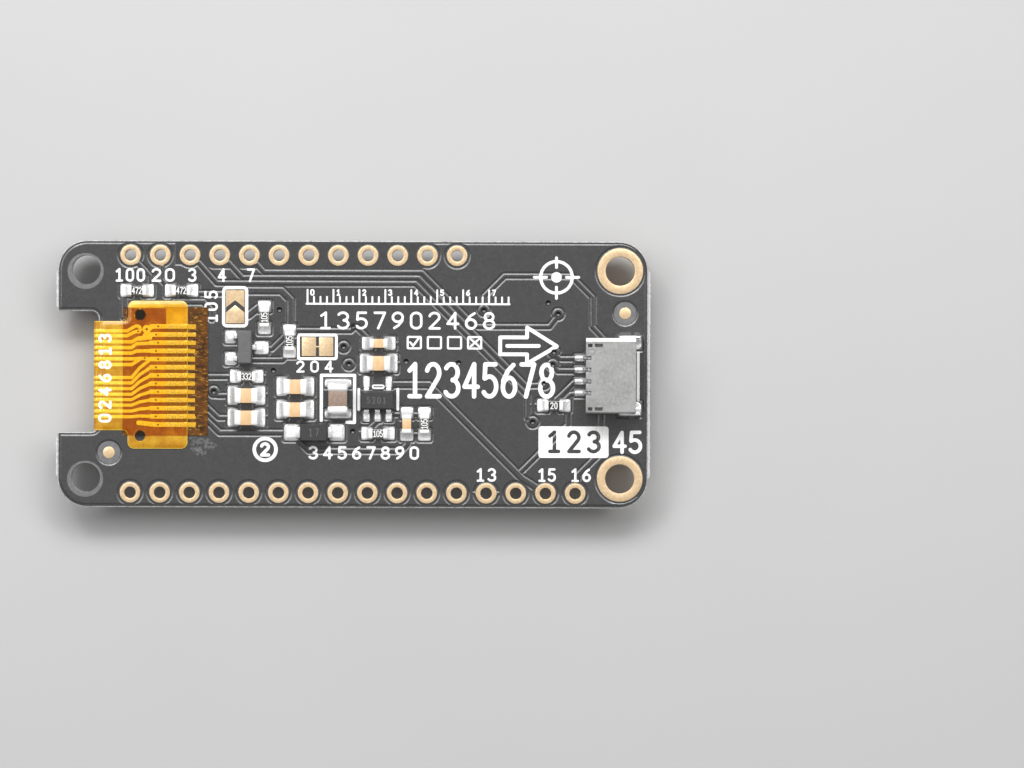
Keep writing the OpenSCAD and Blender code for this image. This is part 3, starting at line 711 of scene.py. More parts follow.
def mask_material(name, base, dark):
    m = Mat(name, base, 0.27)
    m.vary(m.noise(1.1, 4, 0.6), dark, 0.55, 0.3, 0.7)
    m.vary(m.noise(9.0, 3, 0.6, (0.35, 1.0, 1.0), 18), dark, 0.5, 0.4, 0.62)
    m.vary(m.noise(38.0, 2, 0.5), rgb(100, 100, 101), 0.4, 0.54, 0.68)
    m.shine(m.noise(2.3, 3), 0.23, 0.32)
    m.bump(m.noise(5.0, 3, 0.55, (0.5, 1.0, 1.0), 18), 0.004)
    m.bump(m.noise(30.0, 2), 0.0012)
    m.set(Specular_IOR_Level=0.8)
    return m.m


M["mask_cu"] = mask_material("board_mask_over_copper", rgb(53, 53, 54), rgb(42, 42, 43))
M["mask_lam"] = mask_material("board_mask_over_laminate", rgb(46, 46, 47), rgb(37, 37, 38))

# painted shade: a near-black copy of the mask colour for the via dimples, standing in for the shade in the pits
m = Mat("board_painted_shade_in_vias", rgb(17, 17, 18), 0.24)
m.vary(m.noise(9.0, 3), rgb(9, 9, 10), 0.7)
m.bump(m.noise(30.0, 2), 0.001)
M["mask_via"] = m.m

m = Mat("board_bare_laminate", rgb(112, 111, 112), 0.5)
m.vary(m.noise(3.0, 3), rgb(92, 91, 93), 0.7)
m.bump(m.noise(18, 3), 0.006)
M["laminate"] = m.m

m = Mat("board_cut_edge", rgb(196, 196, 196), 0.6)
m.vary(m.noise(10, 4, 0.7, (0.4, 0.4, 2.5)), rgb(110, 108, 106), 0.8, 0.42, 0.62)
m.bump(m.noise(22, 3, 0.6, (1, 1, 3)), 0.02)
M["edge"] = m.m

m = Mat("board_snapped_fibre", rgb(236, 236, 240), 0.7)
m.vary(m.noise(14, 4, 0.7), rgb(168, 168, 172), 0.8, 0.45, 0.7)
m.bump(m.noise(26, 4, 0.7), 0.03)
M["fibre"] = m.m

m = Mat("gold_over_nickel", (0.78, 0.59, 0.37, 1), 0.36, 0.6)
m.vary(m.noise(5, 4), (0.66, 0.45, 0.24, 1), 0.8, 0.4, 0.62)
m.vary(m.noise(24, 3), (0.86, 0.71, 0.50, 1), 0.5, 0.5, 0.7)
m.shine(m.noise(9, 3), 0.30, 0.46)
m.bump(m.noise(34, 3), 0.002)
M["gold"] = m.m

m = Mat("solder_bright", (0.95, 0.95, 0.95, 1), 0.30, 0.62)
m.vary(m.noise(6, 4, 0.6), (0.76, 0.76, 0.78, 1), 0.55, 0.5, 0.72)
m.shine(m.noise(8, 3), 0.26, 0.48)
m.bump(m.noise(7, 2, 0.5), 0.010)
M["solder"] = m.m

m = Mat("tinned_end", (0.93, 0.93, 0.92, 1), 0.36, 0.6)
m.vary(m.noise(7, 4, 0.65), (0.74, 0.75, 0.76, 1), 0.5, 0.46, 0.7)
m.shine(m.noise(12, 3), 0.34, 0.55)
m.bump(m.noise(10, 3, 0.55), 0.006)
M["tin"] = m.m

m = Mat("tinned_lead", (0.88, 0.88, 0.89, 1), 0.32, 0.75)
m.vary(m.noise(9, 3), (0.62, 0.63, 0.65, 1), 0.6, 0.45, 0.68)
m.shine(m.noise(14, 3), 0.26, 0.46)
m.bump(m.noise(30, 3), 0.004)
M["lead"] = m.m

m = Mat("alumina_body", rgb(226, 226, 222), 0.55)
m.vary(m.noise(12, 3), rgb(196, 196, 192), 0.6)
m.bump(m.noise(30, 3), 0.004)
M["alumina"] = m.m

m = Mat("resistor_glaze", rgb(34, 35, 36), 0.28)
m.vary(m.noise(7, 3), rgb(48, 48, 52), 0.7)
m.shine(m.noise(10, 2), 0.20, 0.38)
m.bump(m.noise(20, 3), 0.003)
M["glaze"] = m.m

m = Mat("part_marking", rgb(232, 232, 230), 0.5)
m.vary(m.noise(20, 3), rgb(206, 206, 204), 0.6)
m.bump(m.noise(40, 2), 0.002)
M["marking"] = m.m

m = Mat("capacitor_ceramic", rgb(220, 186, 142), 0.42)
m.vary(m.noise(4, 3, 0.5, (1, 0.3, 1)), rgb(206, 164, 118), 0.7, 0.38, 0.64)
m.vary(m.noise(30, 3), rgb(240, 212, 172), 0.4, 0.52, 0.72)
m.shine(m.noise(14, 2), 0.34, 0.5)
m.bump(m.noise(28, 3), 0.004)
M["ceramic"] = m.m

m = Mat("inductor_ferrite", rgb(150, 130, 114), 0.6)
m.vary(m.noise(6, 4, 0.6, (1, 0.5, 1)), rgb(122, 104, 92), 0.8, 0.36, 0.64)
m.vary(m.noise(34, 3), rgb(184, 166, 148), 0.5, 0.52, 0.72)
m.bump(m.noise(24, 4), 0.010)
M["ferrite"] = m.m

m = Mat("package_black", rgb(41, 41, 42), 0.55)
m.vary(m.noise(5, 3), rgb(54, 54, 55), 0.6)
m.vary(m.noise(60, 2), rgb(84, 84, 86), 0.35, 0.6, 0.75)
m.shine(m.noise(18, 3), 0.46, 0.64)
m.bump(m.noise(48, 3, 0.6), 0.006)
M["package_black"] = m.m

m = Mat("package_grey", rgb(96, 96, 97), 0.55)
m.vary(m.noise(5, 3), rgb(82, 82, 83), 0.6)
m.vary(m.noise(60, 2), rgb(128, 128, 130), 0.35, 0.6, 0.75)
m.bump(m.noise(48, 3, 0.6), 0.006)
M["package_grey"] = m.m

m = Mat("connector_nylon", rgb(148, 148, 147), 0.48)
m.vary(m.noise(1.3, 3, 0.55, (0.6, 1.0, 1.0)), rgb(126, 126, 125), 0.75, 0.4, 0.66)
m.vary(m.noise(5, 4, 0.6, (1.0, 0.6, 1.0)), rgb(164, 164, 163), 0.6, 0.45, 0.66)
m.vary(m.noise(26, 3), rgb(160, 160, 158), 0.4, 0.5, 0.7)
m.shine(m.noise(8, 3), 0.40, 0.58)
m.bump(m.noise(34, 4, 0.65), 0.007)
M["nylon"] = m.m

# painted highlight: a near-white, glossier copy of the connector nylon for the moulded edge that faces the lamps
m = Mat("connector_nylon_ridge", rgb(236, 236, 234), 0.3)
m.vary(m.noise(5, 3), rgb(214, 214, 212), 0.5)
m.bump(m.noise(34, 3), 0.003)
M["nylon_ridge"] = m.m

m = Mat("contact_tin", (0.86, 0.86, 0.86, 1), 0.3, 1.0)
m.vary(m.noise(10, 3), (0.66, 0.66, 0.67, 1), 0.5)
m.shine(m.noise(14, 3), 0.22, 0.42)
m.bump(m.noise(30, 2), 0.003)
M["contact"] = m.m

m = Mat("silk_ink", rgb(244, 244, 243), 0.55)
m.vary(m.noise(14, 4, 0.65), rgb(222, 222, 222), 0.6, 0.45, 0.7)
m.bump(m.noise(40, 3), 0.003)
M["silk"] = m.m

m = Mat("flex_film", rgb(134, 56, 0), 0.22)
m.vary(m.noise(0.9, 3, 0.5), rgb(158, 84, 2), 0.8, 0.42, 0.64)
m.vary(m.noise(4, 3, 0.5), rgb(112, 40, 0), 0.6, 0.48, 0.72)
m.vary(m.noise(0.5, 2, 0.5), rgb(184, 122, 8), 0.5, 0.56, 0.7)
m.shine(m.noise(3, 3), 0.16, 0.30)
m.bump(m.noise(2.2, 3), 0.012)
m.bump(m.noise(30, 2), 0.0015)
m.set(Coat_Weight=0.25, Coat_Roughness=0.12)
M["film"] = m.m

# a paler film tone for the head's upper corner and its top margin; along the top margin, which faces the lamps, it
# also stands in for the edge's highlight: painted highlight
m = Mat("flex_film_pale", rgb(204, 152, 10), 0.22)
m.vary(m.noise(1.1, 3, 0.5), rgb(226, 184, 52), 0.8, 0.42, 0.66)
m.vary(m.noise(4, 3, 0.5), rgb(176, 116, 8), 0.6, 0.52, 0.75)
m.shine(m.noise(4, 3), 0.16, 0.3)
m.bump(m.noise(1.6, 3), 0.012)
M["film_pale"] = m.m

m = Mat("flex_film_bare", rgb(178, 122, 12), 0.22)
m.vary(m.noise(0.9, 3, 0.5), rgb(204, 158, 34), 0.8, 0.42, 0.66)
m.vary(m.noise(5, 3, 0.5), rgb(150, 92, 6), 0.5, 0.5, 0.75)
m.shine(m.noise(4, 3), 0.16, 0.3)
m.bump(m.noise(1.6, 3), 0.012)
M["film_bare"] = m.m

m = Mat("flex_film_gaps", rgb(126, 72, 4), 0.25)
m.vary(m.noise(8, 3, 0.6), rgb(84, 44, 0), 0.8, 0.42, 0.6)
m.vary(m.noise(18, 3, 0.6), rgb(230, 190, 60), 0.7, 0.58, 0.7)
m.bump(m.noise(12, 3), 0.008)
M["film_gaps"] = m.m

m = Mat("flex_track", rgb(250, 202, 38), 0.26, 0.2)
m.vary(m.noise(2, 4, 0.6), rgb(255, 222, 74), 0.8, 0.38, 0.62)
m.vary(m.noise(14, 3, 0.6), rgb(228, 162, 16), 0.5, 0.48, 0.7)
m.shine(m.noise(5, 3), 0.18, 0.34)
m.bump(m.noise(26, 2), 0.002)
m.set(Coat_Weight=0.5, Coat_Roughness=0.12)
M["track"] = m.m

m = Mat("flex_finger", rgb(255, 226, 96), 0.3, 0.55)
m.vary(m.noise(7, 4, 0.65), rgb(214, 160, 28), 0.75, 0.44, 0.62)
m.vary(m.noise(22, 3), rgb(255, 246, 180), 0.7, 0.5, 0.68)
m.shine(m.noise(9, 3), 0.2, 0.45)
m.bump(m.noise(14, 3), 0.01)
M["finger"] = m.m

m = Mat("flex_cut_edge", rgb(232, 206, 96), 0.35)
m.vary(m.noise(10, 3), rgb(196, 150, 40), 0.7)
m.bump(m.noise(30, 2), 0.004)
M["film_edge"] = m.m

m = Mat("flex_ink", rgb(248, 246, 232), 0.5)
m.vary(m.noise(14, 3), rgb(232, 226, 200), 0.6)
m.bump(m.noise(36, 2), 0.002)
M["flex_ink"] = m.m

m = Mat("amber_tape", rgb(206, 132, 20), 0.12)
m.vary(m.noise(1.6, 4, 0.6), rgb(160, 92, 8), 0.7, 0.38, 0.64)
m.vary(m.noise(12, 3, 0.6), rgb(230, 160, 40), 0.5, 0.5, 0.72)
m.shine(m.noise(4, 3), 0.07, 0.2)
m.bump(m.noise(1.8, 3, 0.6, (1.0, 0.5, 1.0)), 0.02)
m.bump(m.noise(12, 2), 0.002)
m.set(IOR=1.6, Coat_Weight=1.0, Coat_Roughness=0.05)
clear_ = m.t.nodes.new("ShaderNodeBsdfTransparent")
clear_.inputs["Color"].default_value = (1.0, 0.95, 0.78, 1.0)
mix_ = m.t.nodes.new("ShaderNodeMixShader")
mix_.inputs["Fac"].default_value = 0.06
m.t.links.new(clear_.outputs["BSDF"], mix_.inputs[1])
m.t.links.new(m.bsdf.outputs["BSDF"], mix_.inputs[2])
m.t.links.new(mix_.outputs["Shader"], m.t.nodes["Material Output"].inputs["Surface"])
M["tape"] = m.m

m = Mat("amber_tape_over_board", rgb(116, 68, 6), 0.16)
m.vary(m.noise(1.6, 4, 0.7, (0.8, 1.3, 1.0)), rgb(56, 24, 0), 1.0, 0.44, 0.6)
m.vary(m.noise(4.5, 4, 0.75, (0.5, 1.5, 1.0), 20), rgb(232, 184, 70), 0.9, 0.56, 0.67)
m.vary(m.noise(22, 3, 0.6), rgb(150, 98, 26), 0.6, 0.5, 0.7)
m.shine(m.noise(4, 3), 0.1, 0.3)
m.bump(m.noise(4.5, 4, 0.65, (0.5, 1.2, 1.0)), 0.03)
m.set(IOR=1.5, Coat_Weight=0.35, Coat_Roughness=0.06)
clear_ = m.t.nodes.new("ShaderNodeBsdfTransparent")
clear_.inputs["Color"].default_value = (0.62, 0.34, 0.08, 1.0)
mix_ = m.t.nodes.new("ShaderNodeMixShader")
mix_.inputs["Fac"].default_value = 0.62
m.t.links.new(clear_.outputs["BSDF"], mix_.inputs[1])
m.t.links.new(m.bsdf.outputs["BSDF"], mix_.inputs[2])
m.t.links.new(mix_.outputs["Shader"], m.t.nodes["Material Output"].inputs["Surface"])
M["tape_dark"] = m.m

m = Mat("amber_tape_over_joints", rgb(236, 186, 40), 0.14)
m.vary(m.noise(7, 3), rgb(240, 200, 80), 0.7)
m.vary(m.noise(16, 3), rgb(90, 50, 4), 0.8, 0.56, 0.66)
m.bump(m.noise(9, 3), 0.01)
m.set(IOR=1.6, Coat_Weight=1.0, Coat_Roughness=0.06)
clear_ = m.t.nodes.new("ShaderNodeBsdfTransparent")
clear_.inputs["Color"].default_value = (1.0, 0.88, 0.42, 1.0)
mix_ = m.t.nodes.new("ShaderNodeMixShader")
mix_.inputs["Fac"].default_value = 0.3
m.t.links.new(clear_.outputs["BSDF"], mix_.inputs[1])
m.t.links.new(m.bsdf.outputs["BSDF"], mix_.inputs[2])
m.t.links.new(mix_.outputs["Shader"], m.t.nodes["Material Output"].inputs["Surface"])
M["tape_gold"] = m.m

m = Mat("amber_tape_over_holes", rgb(30, 20, 4), 0.2)
m.vary(m.noise(5, 3), rgb(52, 36, 10), 0.7)
m.bump(m.noise(9, 3), 0.008)
m.set(IOR=1.5, Coat_Weight=0.3, Coat_Roughness=0.08)
clear_ = m.t.nodes.new("ShaderNodeBsdfTransparent")
clear_.inputs["Color"].default_value = (0.4, 0.3, 0.14, 1.0)
mix_ = m.t.nodes.new("ShaderNodeMixShader")
mix_.inputs["Fac"].default_value = 0.5
m.t.links.new(clear_.outputs["BSDF"], mix_.inputs[1])
m.t.links.new(m.bsdf.outputs["BSDF"], mix_.inputs[2])
m.t.links.new(mix_.outputs["Shader"], m.t.nodes["Material Output"].inputs["Surface"])
M["tape_hole"] = m.m

m = Mat("display_glass", rgb(150, 160, 158), 0.05)
m.vary(m.noise(0.4, 2), rgb(128, 140, 140), 0.6)
m.shine(m.noise(3, 3), 0.03, 0.08)
m.bump(m.noise(0.6, 2), 0.002)
m.set(Transmission_Weight=0.35, IOR=1.52, Coat_Weight=0.4, Coat_Roughness=0.03)
M["glass"] = m.m

m = Mat("polariser_film", rgb(14, 15, 17), 0.16)
m.vary(m.noise(0.7, 2), rgb(20, 21, 25), 0.7)
m.shine(m.noise(4, 3), 0.12, 0.22)
m.bump(m.noise(20, 2), 0.0008)
m.set(Coat_Weight=0.7, Coat_Roughness=0.05)
M["polariser"] = m.m

m = Mat("driver_silicon", rgb(86, 86, 96), 0.22, 0.6)
m.vary(m.noise(6, 3, 0.5, (1, 0.05, 1)), rgb(60, 60, 72), 0.8)
m.bump(m.noise(40, 2), 0.001)
M["silicon"] = m.m

m = Mat("foam_tape", rgb(214, 214, 208), 0.9)
m.vary(m.noise(9, 4, 0.7), rgb(178, 178, 172), 0.8, 0.4, 0.62)
m.bump(m.voronoi(10), 0.05)
M["foam"] = m.m

m = Mat("button_base_plastic", rgb(30, 30, 31), 0.5)
m.vary(m.noise(8, 3), rgb(42, 42, 43), 0.6)
m.bump(m.noise(40, 3), 0.006)
M["btn_base"] = m.m

m = Mat("button_steel", (0.62, 0.62, 0.63, 1), 0.32, 1.0)
m.vary(m.noise(5, 3, 0.5, (6, 0.4, 1)), (0.50, 0.50, 0.51, 1), 0.6)
m.shine(m.noise(9, 3, 0.5, (8, 0.5, 1)), 0.24, 0.42)
m.bump(m.noise(30, 3, 0.5, (8, 0.5, 1)), 0.002)
M["btn_steel"] = m.m

m = Mat("button_plunger_nylon", rgb(226, 226, 220), 0.45)
m.vary(m.noise(6, 3), rgb(206, 206, 200), 0.6)
m.bump(m.noise(36, 3), 0.004)
M["btn_plunger"] = m.m

m = Mat("flux_residue", rgb(176, 175, 174), 0.3)
m.vary(m.noise(3, 5, 0.7), rgb(60, 60, 60), 0.9, 0.42, 0.58)
m.bump(m.noise(5, 3), 0.02)
m.set(Alpha=0.17)
M["flux"] = m.m

m = Mat("flex_via", rgb(96, 52, 4), 0.4)
m.vary(m.noise(20, 2), rgb(60, 32, 2), 0.7)
m.bump(m.noise(40, 2), 0.002)
M["flex_via"] = m.m


# ------------------------------------------------------------------ the board
def hole_circles():
    out = [circle_pts(x, y, 0.53, 36) for x, y in PINS]
    out += [circle_pts(22.86, s * 8.89, 1.28, 56) for s in (-1, 1)]
    out += [circle_pts(-22.86, s * 8.89, 1.25, 56) for s in (-1, 1)]
    return out


def in_holes(x, y, grow=0.0):
    out = np.zeros(np.shape(x), bool)
    for px, py in PINS:
        out |= np.hypot(x - px, y - py) < 0.53 + grow
    for s in (-1, 1):
        out |= np.hypot(x - 22.86, y - s * 8.89) < 1.28 + grow
        out |= np.hypot(x + 22.86, y - s * 8.89) < 1.25 + grow
    return out


relief_lines = []
for lv in (L0, 0.01, L1):
    relief_lines += G.lines(level, lv, 0.005)
open_lines = G.lines(opening, 0.0, 0.003) + G.lines(opening, -0.012, 0.003)
via_lines = []
for vx, vy in VIAS_PLAIN + VIAS_RING:
    via_lines += [circle_pts(vx, vy, r, n) for r, n in ((0.235, 20), (0.165, 20), (0.09, 14), (0.035, 8))]
rim_lines = [outline(0.0), outline(0.045), outline(0.1)]
top_v, top_t = triangulate(relief_lines + open_lines + via_lines + rim_lines + hole_circles(),
                           VIAS_PLAIN + VIAS_RING)
mid = top_v[top_t].mean(1)
good = (d_board(mid[:, 0], mid[:, 1]) < 0) & ~in_holes(mid[:, 0], mid[:, 1])
top_t, mid = top_t[good], mid[good]
top_v3 = np.column_stack([top_v, mask_z(top_v[:, 0], top_v[:, 1])])

side = -d_board(mid[:, 0], mid[:, 1])
lv_mid = G.sample(level, mid[:, 0], mid[:, 1])
op_mid = G.sample(opening, mid[:, 0], mid[:, 1])
face_mat = np.where(side < 0.1, 3, np.where(op_mid < -0.011, 2, np.where(lv_mid < 0.01, 0, 1)))

# faces in the via dimples take the near-black mask: painted shade for the pits
for vx, vy in VIAS_PLAIN + VIAS_RING:
    face_mat = np.where(np.hypot(mid[:, 0] - vx, mid[:, 1] - vy) < 0.215, 5, face_mat)

B = Build()
B.add(top_v3, top_t, face_mat)
edges = rim(top_t)
n0 = len(top_v3)
used = sorted({k for e in edges for k in e})
low = {k: n0 + i for i, k in enumerate(used)}
low_xy = top_v[used]
B.v.append(np.column_stack([low_xy, np.full(len(used), Z_B0)]))
B.count += len(used)
for a, b in edges:
    B.f.append([low[a], low[b], b, a])
    B.m.append(4)
# the display side: the same rim, filled with flat triangles
loops, nxt = [], {a: b for a, b in edges}
left = set(nxt)
while left:
    k = left.pop()
    loop = [k]
    while nxt[loop[-1]] != k:
        loop.append(nxt[loop[-1]])
        left.discard(loop[-1])
    loops.append(loop)
find = {(round(top_v[k][0], 4), round(top_v[k][1], 4)): low[k] for k in used}
bv, bt = triangulate([np.vstack([top_v[lp], top_v[lp[:1]]]) for lp in loops])
bm_ = bv[bt].mean(1)
keep = (d_board(bm_[:, 0], bm_[:, 1]) < 0) & ~in_holes(bm_[:, 0], bm_[:, 1], -0.01)
lost = 0
for t in bt[keep]:
    ids = [find.get((round(bv[k][0], 4), round(bv[k][1], 4))) for k in t]
    if None in ids:
        lost += 1
        continue
    B.f.append(ids[::-1])
    B.m.append(0)
pcb = B.obj("board_relief", [M["mask_cu"], M["mask_lam"], M["laminate"], M["edge"], M["edge"],
                             M["mask_via"]], smooth=False)
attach(pcb, "board")
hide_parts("pcb")


# the snapped webs that stand out of the two short edges
def ridge(side, y0, y1, seed):
    n = int((y1 - y0) / 0.09)
    ys = np.linspace(y0, y1, n + 1)
    b = Build()
    vs, fs = [], []
    ends = np.clip(np.minimum(ys - y0, y1 - ys) / 0.25, 0, 1) ** 0.5
    for k, y in enumerate(ys):
        out = (0.185 + 0.04 * wave(y, 0.0, seed, 5.0) + 0.02 * wave(y, 3.0, seed + 1, 17.0)) * ends[k]
        out = min(max(out, 0.01), 0.23)
        zt = 2.8 + 0.215 + 0.045 * wave(y, 1.0, seed + 2, 6.0)
        zb = 2.8 - 0.215 + 0.045 * wave(y, 2.0, seed + 3, 6.0)
        zm = (zt + zb) / 2 + 0.05 * wave(y, 5.0, seed + 4, 9.0)
        x = BL / 2
        vs += [(side * (x - 0.05), y, zb - 0.08), (side * (x + out * 0.9), y, zb), (side * (x + out), y, zm),
               (side * (x + out * 0.85), y, zt), (side * (x - 0.05), y, zt + 0.08)]
    m = 5
    for k in range(n):
        for j in range(m):
            q = [k * m + j, k * m + (j + 1) % m, (k + 1) * m + (j + 1) % m, (k + 1) * m + j]
            fs.append(q[::-1] if side > 0 else q)
    e0, e1 = list(range(m)), [n * m + j for j in range(m)]
    fs += ([e0, e1[::-1]] if side > 0 else [e0[::-1], e1])
    b.add(vs, fs)
    return b


webs = Build()
for i, (s, a, c) in enumerate([(1, -8.9, 8.9), (-1, 5.6, 8.9), (-1, -8.9, -5.25)]):
    w = ridge(s, a, c, 40 + 7 * i)
    webs.add(np.concatenate(w.v), w.f)
webs_o = webs.obj("board_snapped_webs", [M["fibre"]], smooth=False)
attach(webs_o, "board")


# ------------------------------------------------------------------ white ink on the board
SG = Grid(-25.2, 25.2, -10.0, 10.2, 0.03)
ink = SG.blank(0.3)


def line_ink(pts, hw):
    for a, b in zip(pts[:-1], pts[1:]):
        SG.union(ink, lambda x, y: d_seg(x, y, a, b, hw),
                 (min(a[0], b[0]), min(a[1], b[1]), max(a[0], b[0]), max(a[1], b[1])), 0.3)


def text_ink(text, x, y, h, pitch=None, hw=0.09, turn=0.0, width=None):
    for s in strokes(text, x, y, h, pitch, turn, "left", width):
        line_ink(s, hw)


def box_ink(x0, y0, x1, y1, hw, r=0.2):
    """An outline whose stroke runs inside the given box."""
    cx, cy, w, h = (x0 + x1) / 2, (y0 + y1) / 2, x1 - x0, y1 - y0

    def f(x, y):
        return np.abs(d_rect(x, y, cx, cy, w - 2 * hw, h - 2 * hw, r)) - hw
    SG.union(ink, f, (x0, y0, x1, y1), 0.3)


def fill_ink(x0, y0, x1, y1, r=0.1):
    SG.union(ink, lambda x, y: d_rect(x, y, (x0 + x1) / 2, (y0 + y1) / 2, x1 - x0, y1 - y0, r), (x0, y0, x1, y1), 0.3)


# numbers beside the header holes
text_ink("100", -20.32, 7.96, 0.98, 0.93, 0.095, width=0.95)
text_ink("20", -17.2, 7.96, 0.98, 1.16, 0.095, width=1.2)
text_ink("3", -14.05, 7.96, 0.98, 1.0, 0.095, width=0.95)
text_ink("4", -11.52, 7.96, 0.98, 1.0, 0.095, width=0.95)
text_ink("7", -9.04, 7.96, 0.98, 1.0, 0.095, width=0.95)
text_ink("13", 10.62, -9.07, 0.98, 1.0, 0.095, width=1.0)
text_ink("15", 15.9, -9.07, 0.98, 0.86, 0.095, width=0.95)
text_ink("16", 18.72, -9.07, 0.98, 1.0, 0.095, width=1.0)
text_ink("105", -11.66, 4.45, 0.98, 1.02, 0.095, 90, 0.95)
text_ink("204", -4.8, 0.22, 0.86, 1.22, 0.085, width=1.0)
# a ruler, a row of figures, a row of boxes to tick
line_ink([(-3.98, 6.03), (13.38, 6.03)], 0.08)
for i in range(32):
    x = -3.9 + 0.555 * i
    line_ink([(x, 6.03), (x, 6.62 if i % 4 else 7.22)], 0.075)
for i in range(8):
    text_ink(str(i), -3.62 + 2.22 * i, 6.78, 0.44, None, 0.06)
text_ink("1357902468", -2.86, 3.95, 1.32, 1.56, 0.105, width=1.55)
for i in range(4):
    box_ink(4.6 + 1.72 * i, 2.15, 5.9 + 1.72 * i, 3.3, 0.085, 0.08)
line_ink([(4.9, 2.75), (5.15, 2.45), (5.62, 3.1)], 0.09)
line_ink([(10.05, 2.4), (10.8, 3.05)], 0.08)
line_ink([(10.05, 3.05), (10.8, 2.4)], 0.08)
# large figures
text_ink("12345678", 4.66, -1.86, 2.75, 1.62, 0.19, width=1.95)
# a plain arrow and a register mark
arrow = [(12.6, 1.75), (14.9, 1.75), (14.9, 0.95), (17.45, 2.45), (14.9, 4.05), (14.9, 3.2), (12.6, 3.2)]
SG.union(ink, lambda x, y: np.abs(d_poly(x, y, arrow)) - 0.16, (12.4, 0.7, 17.7, 4.3), 0.3)
line_ink([(13.2, 2.47), (15.9, 2.47)], 0.16)
SG.union(ink, lambda x, y: np.abs(d_disc(x, y, 17.4, 8.35, 1.35)) - 0.13, (15.9, 6.8, 18.9, 9.9), 0.3)
SG.union(ink, lambda x, y: d_disc(x, y, 17.4, 8.35, 0.45), (16.9, 7.9, 17.9, 8.9), 0.3)
for a, b in (((15.5, 8.35), (16.55, 8.35)), ((18.25, 8.35), (19.3, 8.35)),
             ((17.4, 6.55), (17.4, 7.5)), ((17.4, 9.2), (17.4, 10.05))):
    line_ink([a, b], 0.12)
# outlines of parts
box_ink(-11.21, 3.98, -8.97, 7.52, 0.13, 0.3)
box_ink(-4.79, 1.2, -1.3, 3.47, 0.12, 0.14)
line_ink([(-2.69, -3.95), (-2.69, -0.09), (0.15, -0.09), (0.15, -4.12), (-0.5, -4.12)], 0.135)
line_ink([(0.51, -3.0), (0.51, -1.28)], 0.12)
line_ink([(3.85, -3.0), (3.85, -1.28)], 0.12)
box_ink(1.63, -1.25, 2.71, -0.87, 0.07, 0.11)
line_ink([(24.42, -2.1), (24.42, 1.92)], 0.12)
# a figure in a ring, and a row of figures
SG.union(ink, lambda x, y: np.abs(d_disc(x, y, -7.49, -6.45, 0.93)) - 0.15, (-8.7, -7.7, -6.3, -5.2), 0.3)
text_ink("2", -7.83, -6.93, 0.96, 1.0, 0.135, width=1.1)
text_ink("34567890", -3.7, -7.2, 0.96, 1.235, 0.1, width=1.1)
# a panel with figures left open in it
fill_ink(15.9, -7.1, 21.9, -4.4, 0.25)
hollow = SG.blank(0.3)
for s in strokes("123", 16.72, -6.55, 1.65, 1.72, 0.0, "left", 1.6):
    for a, b in zip(s[:-1], s[1:]):
        SG.union(hollow, lambda x, y: d_seg(x, y, a, b, 0.16),
                 (min(a[0], b[0]), min(a[1], b[1]), max(a[0], b[0]), max(a[1], b[1])), 0.3)
ink = np.maximum(ink, -hollow)
text_ink("45", 22.35, -6.6, 1.7, 1.35, 0.15, width=1.6)

ink_lines = SG.lines(ink, 0.0, 0.004)
sv, st = triangulate(ink_lines + relief_lines + [circle_pts(x, y, 0.22, 18) for x, y in VIAS_PLAIN + VIAS_RING])
sc = sv[st].mean(1)
ok = SG.sample(ink, sc[:, 0], sc[:, 1]) < 0
inside = ((sc[:, 0] > -25.15) & (sc[:, 0] < 25.15) & (np.abs(sc[:, 1]) < 10.1))
open_here = G.sample(opening, sc[:, 0], sc[:, 1]) < 0.02
for x, y in VIAS_PLAIN + VIAS_RING:
    ok &= np.hypot(sc[:, 0] - x, sc[:, 1] - y) > 0.215
st = st[ok & inside & ~open_here & ~in_holes(sc[:, 0], sc[:, 1], 0.5)]
used = np.unique(st)
remap = np.full(len(sv), -1)
remap[used] = np.arange(len(used))
sv, st = sv[used], remap[st]
z = mask_z(sv[:, 0], sv[:, 1])
thick = 0.016 + 0.003 * wave(sv[:, 0], sv[:, 1], 3, 3.0)
S = Build()
S.add(np.column_stack([sv, z + thick]), st)
S.add(np.column_stack([sv, z - 0.002]), st[:, ::-1])
n = len(sv)
for a, b in rim(st):
    S.f.append([n + a, n + b, b, a])
    S.m.append(0)
silk = S.obj("board_markings", [M["silk"]], smooth=False)
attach(silk, "board")


# ------------------------------------------------------------------ CAD nodes that stay, with softened edges
def finish_node(name, mat, bevel=0.03, seg=2, angle=35):
    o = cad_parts[name]
    o.data.materials.clear()
    o.data.materials.append(mat)
    w = o.modifiers.new("weld", "WELD")
    w.merge_threshold = 1e-7
    if bevel:
        b = o.modifiers.new("edges", "BEVEL")
        b.width = bevel * MM
        b.segments = seg
        b.limit_method = "ANGLE"
        b.angle_limit = math.radians(30)
        b.harden_normals = False
    for p in o.data.polygons:
        p.use_smooth = True
    me = o.data
    if me.has_custom_normals:
        with bpy.context.temp_override(object=o, active_object=o):
            bpy.ops.mesh.customdata_custom_splitnormals_clear()
    wn_ = o.modifiers.new("shading", "WEIGHTED_NORMAL")
    wn_.keep_sharp = False
    wn_.weight = 90
    return o


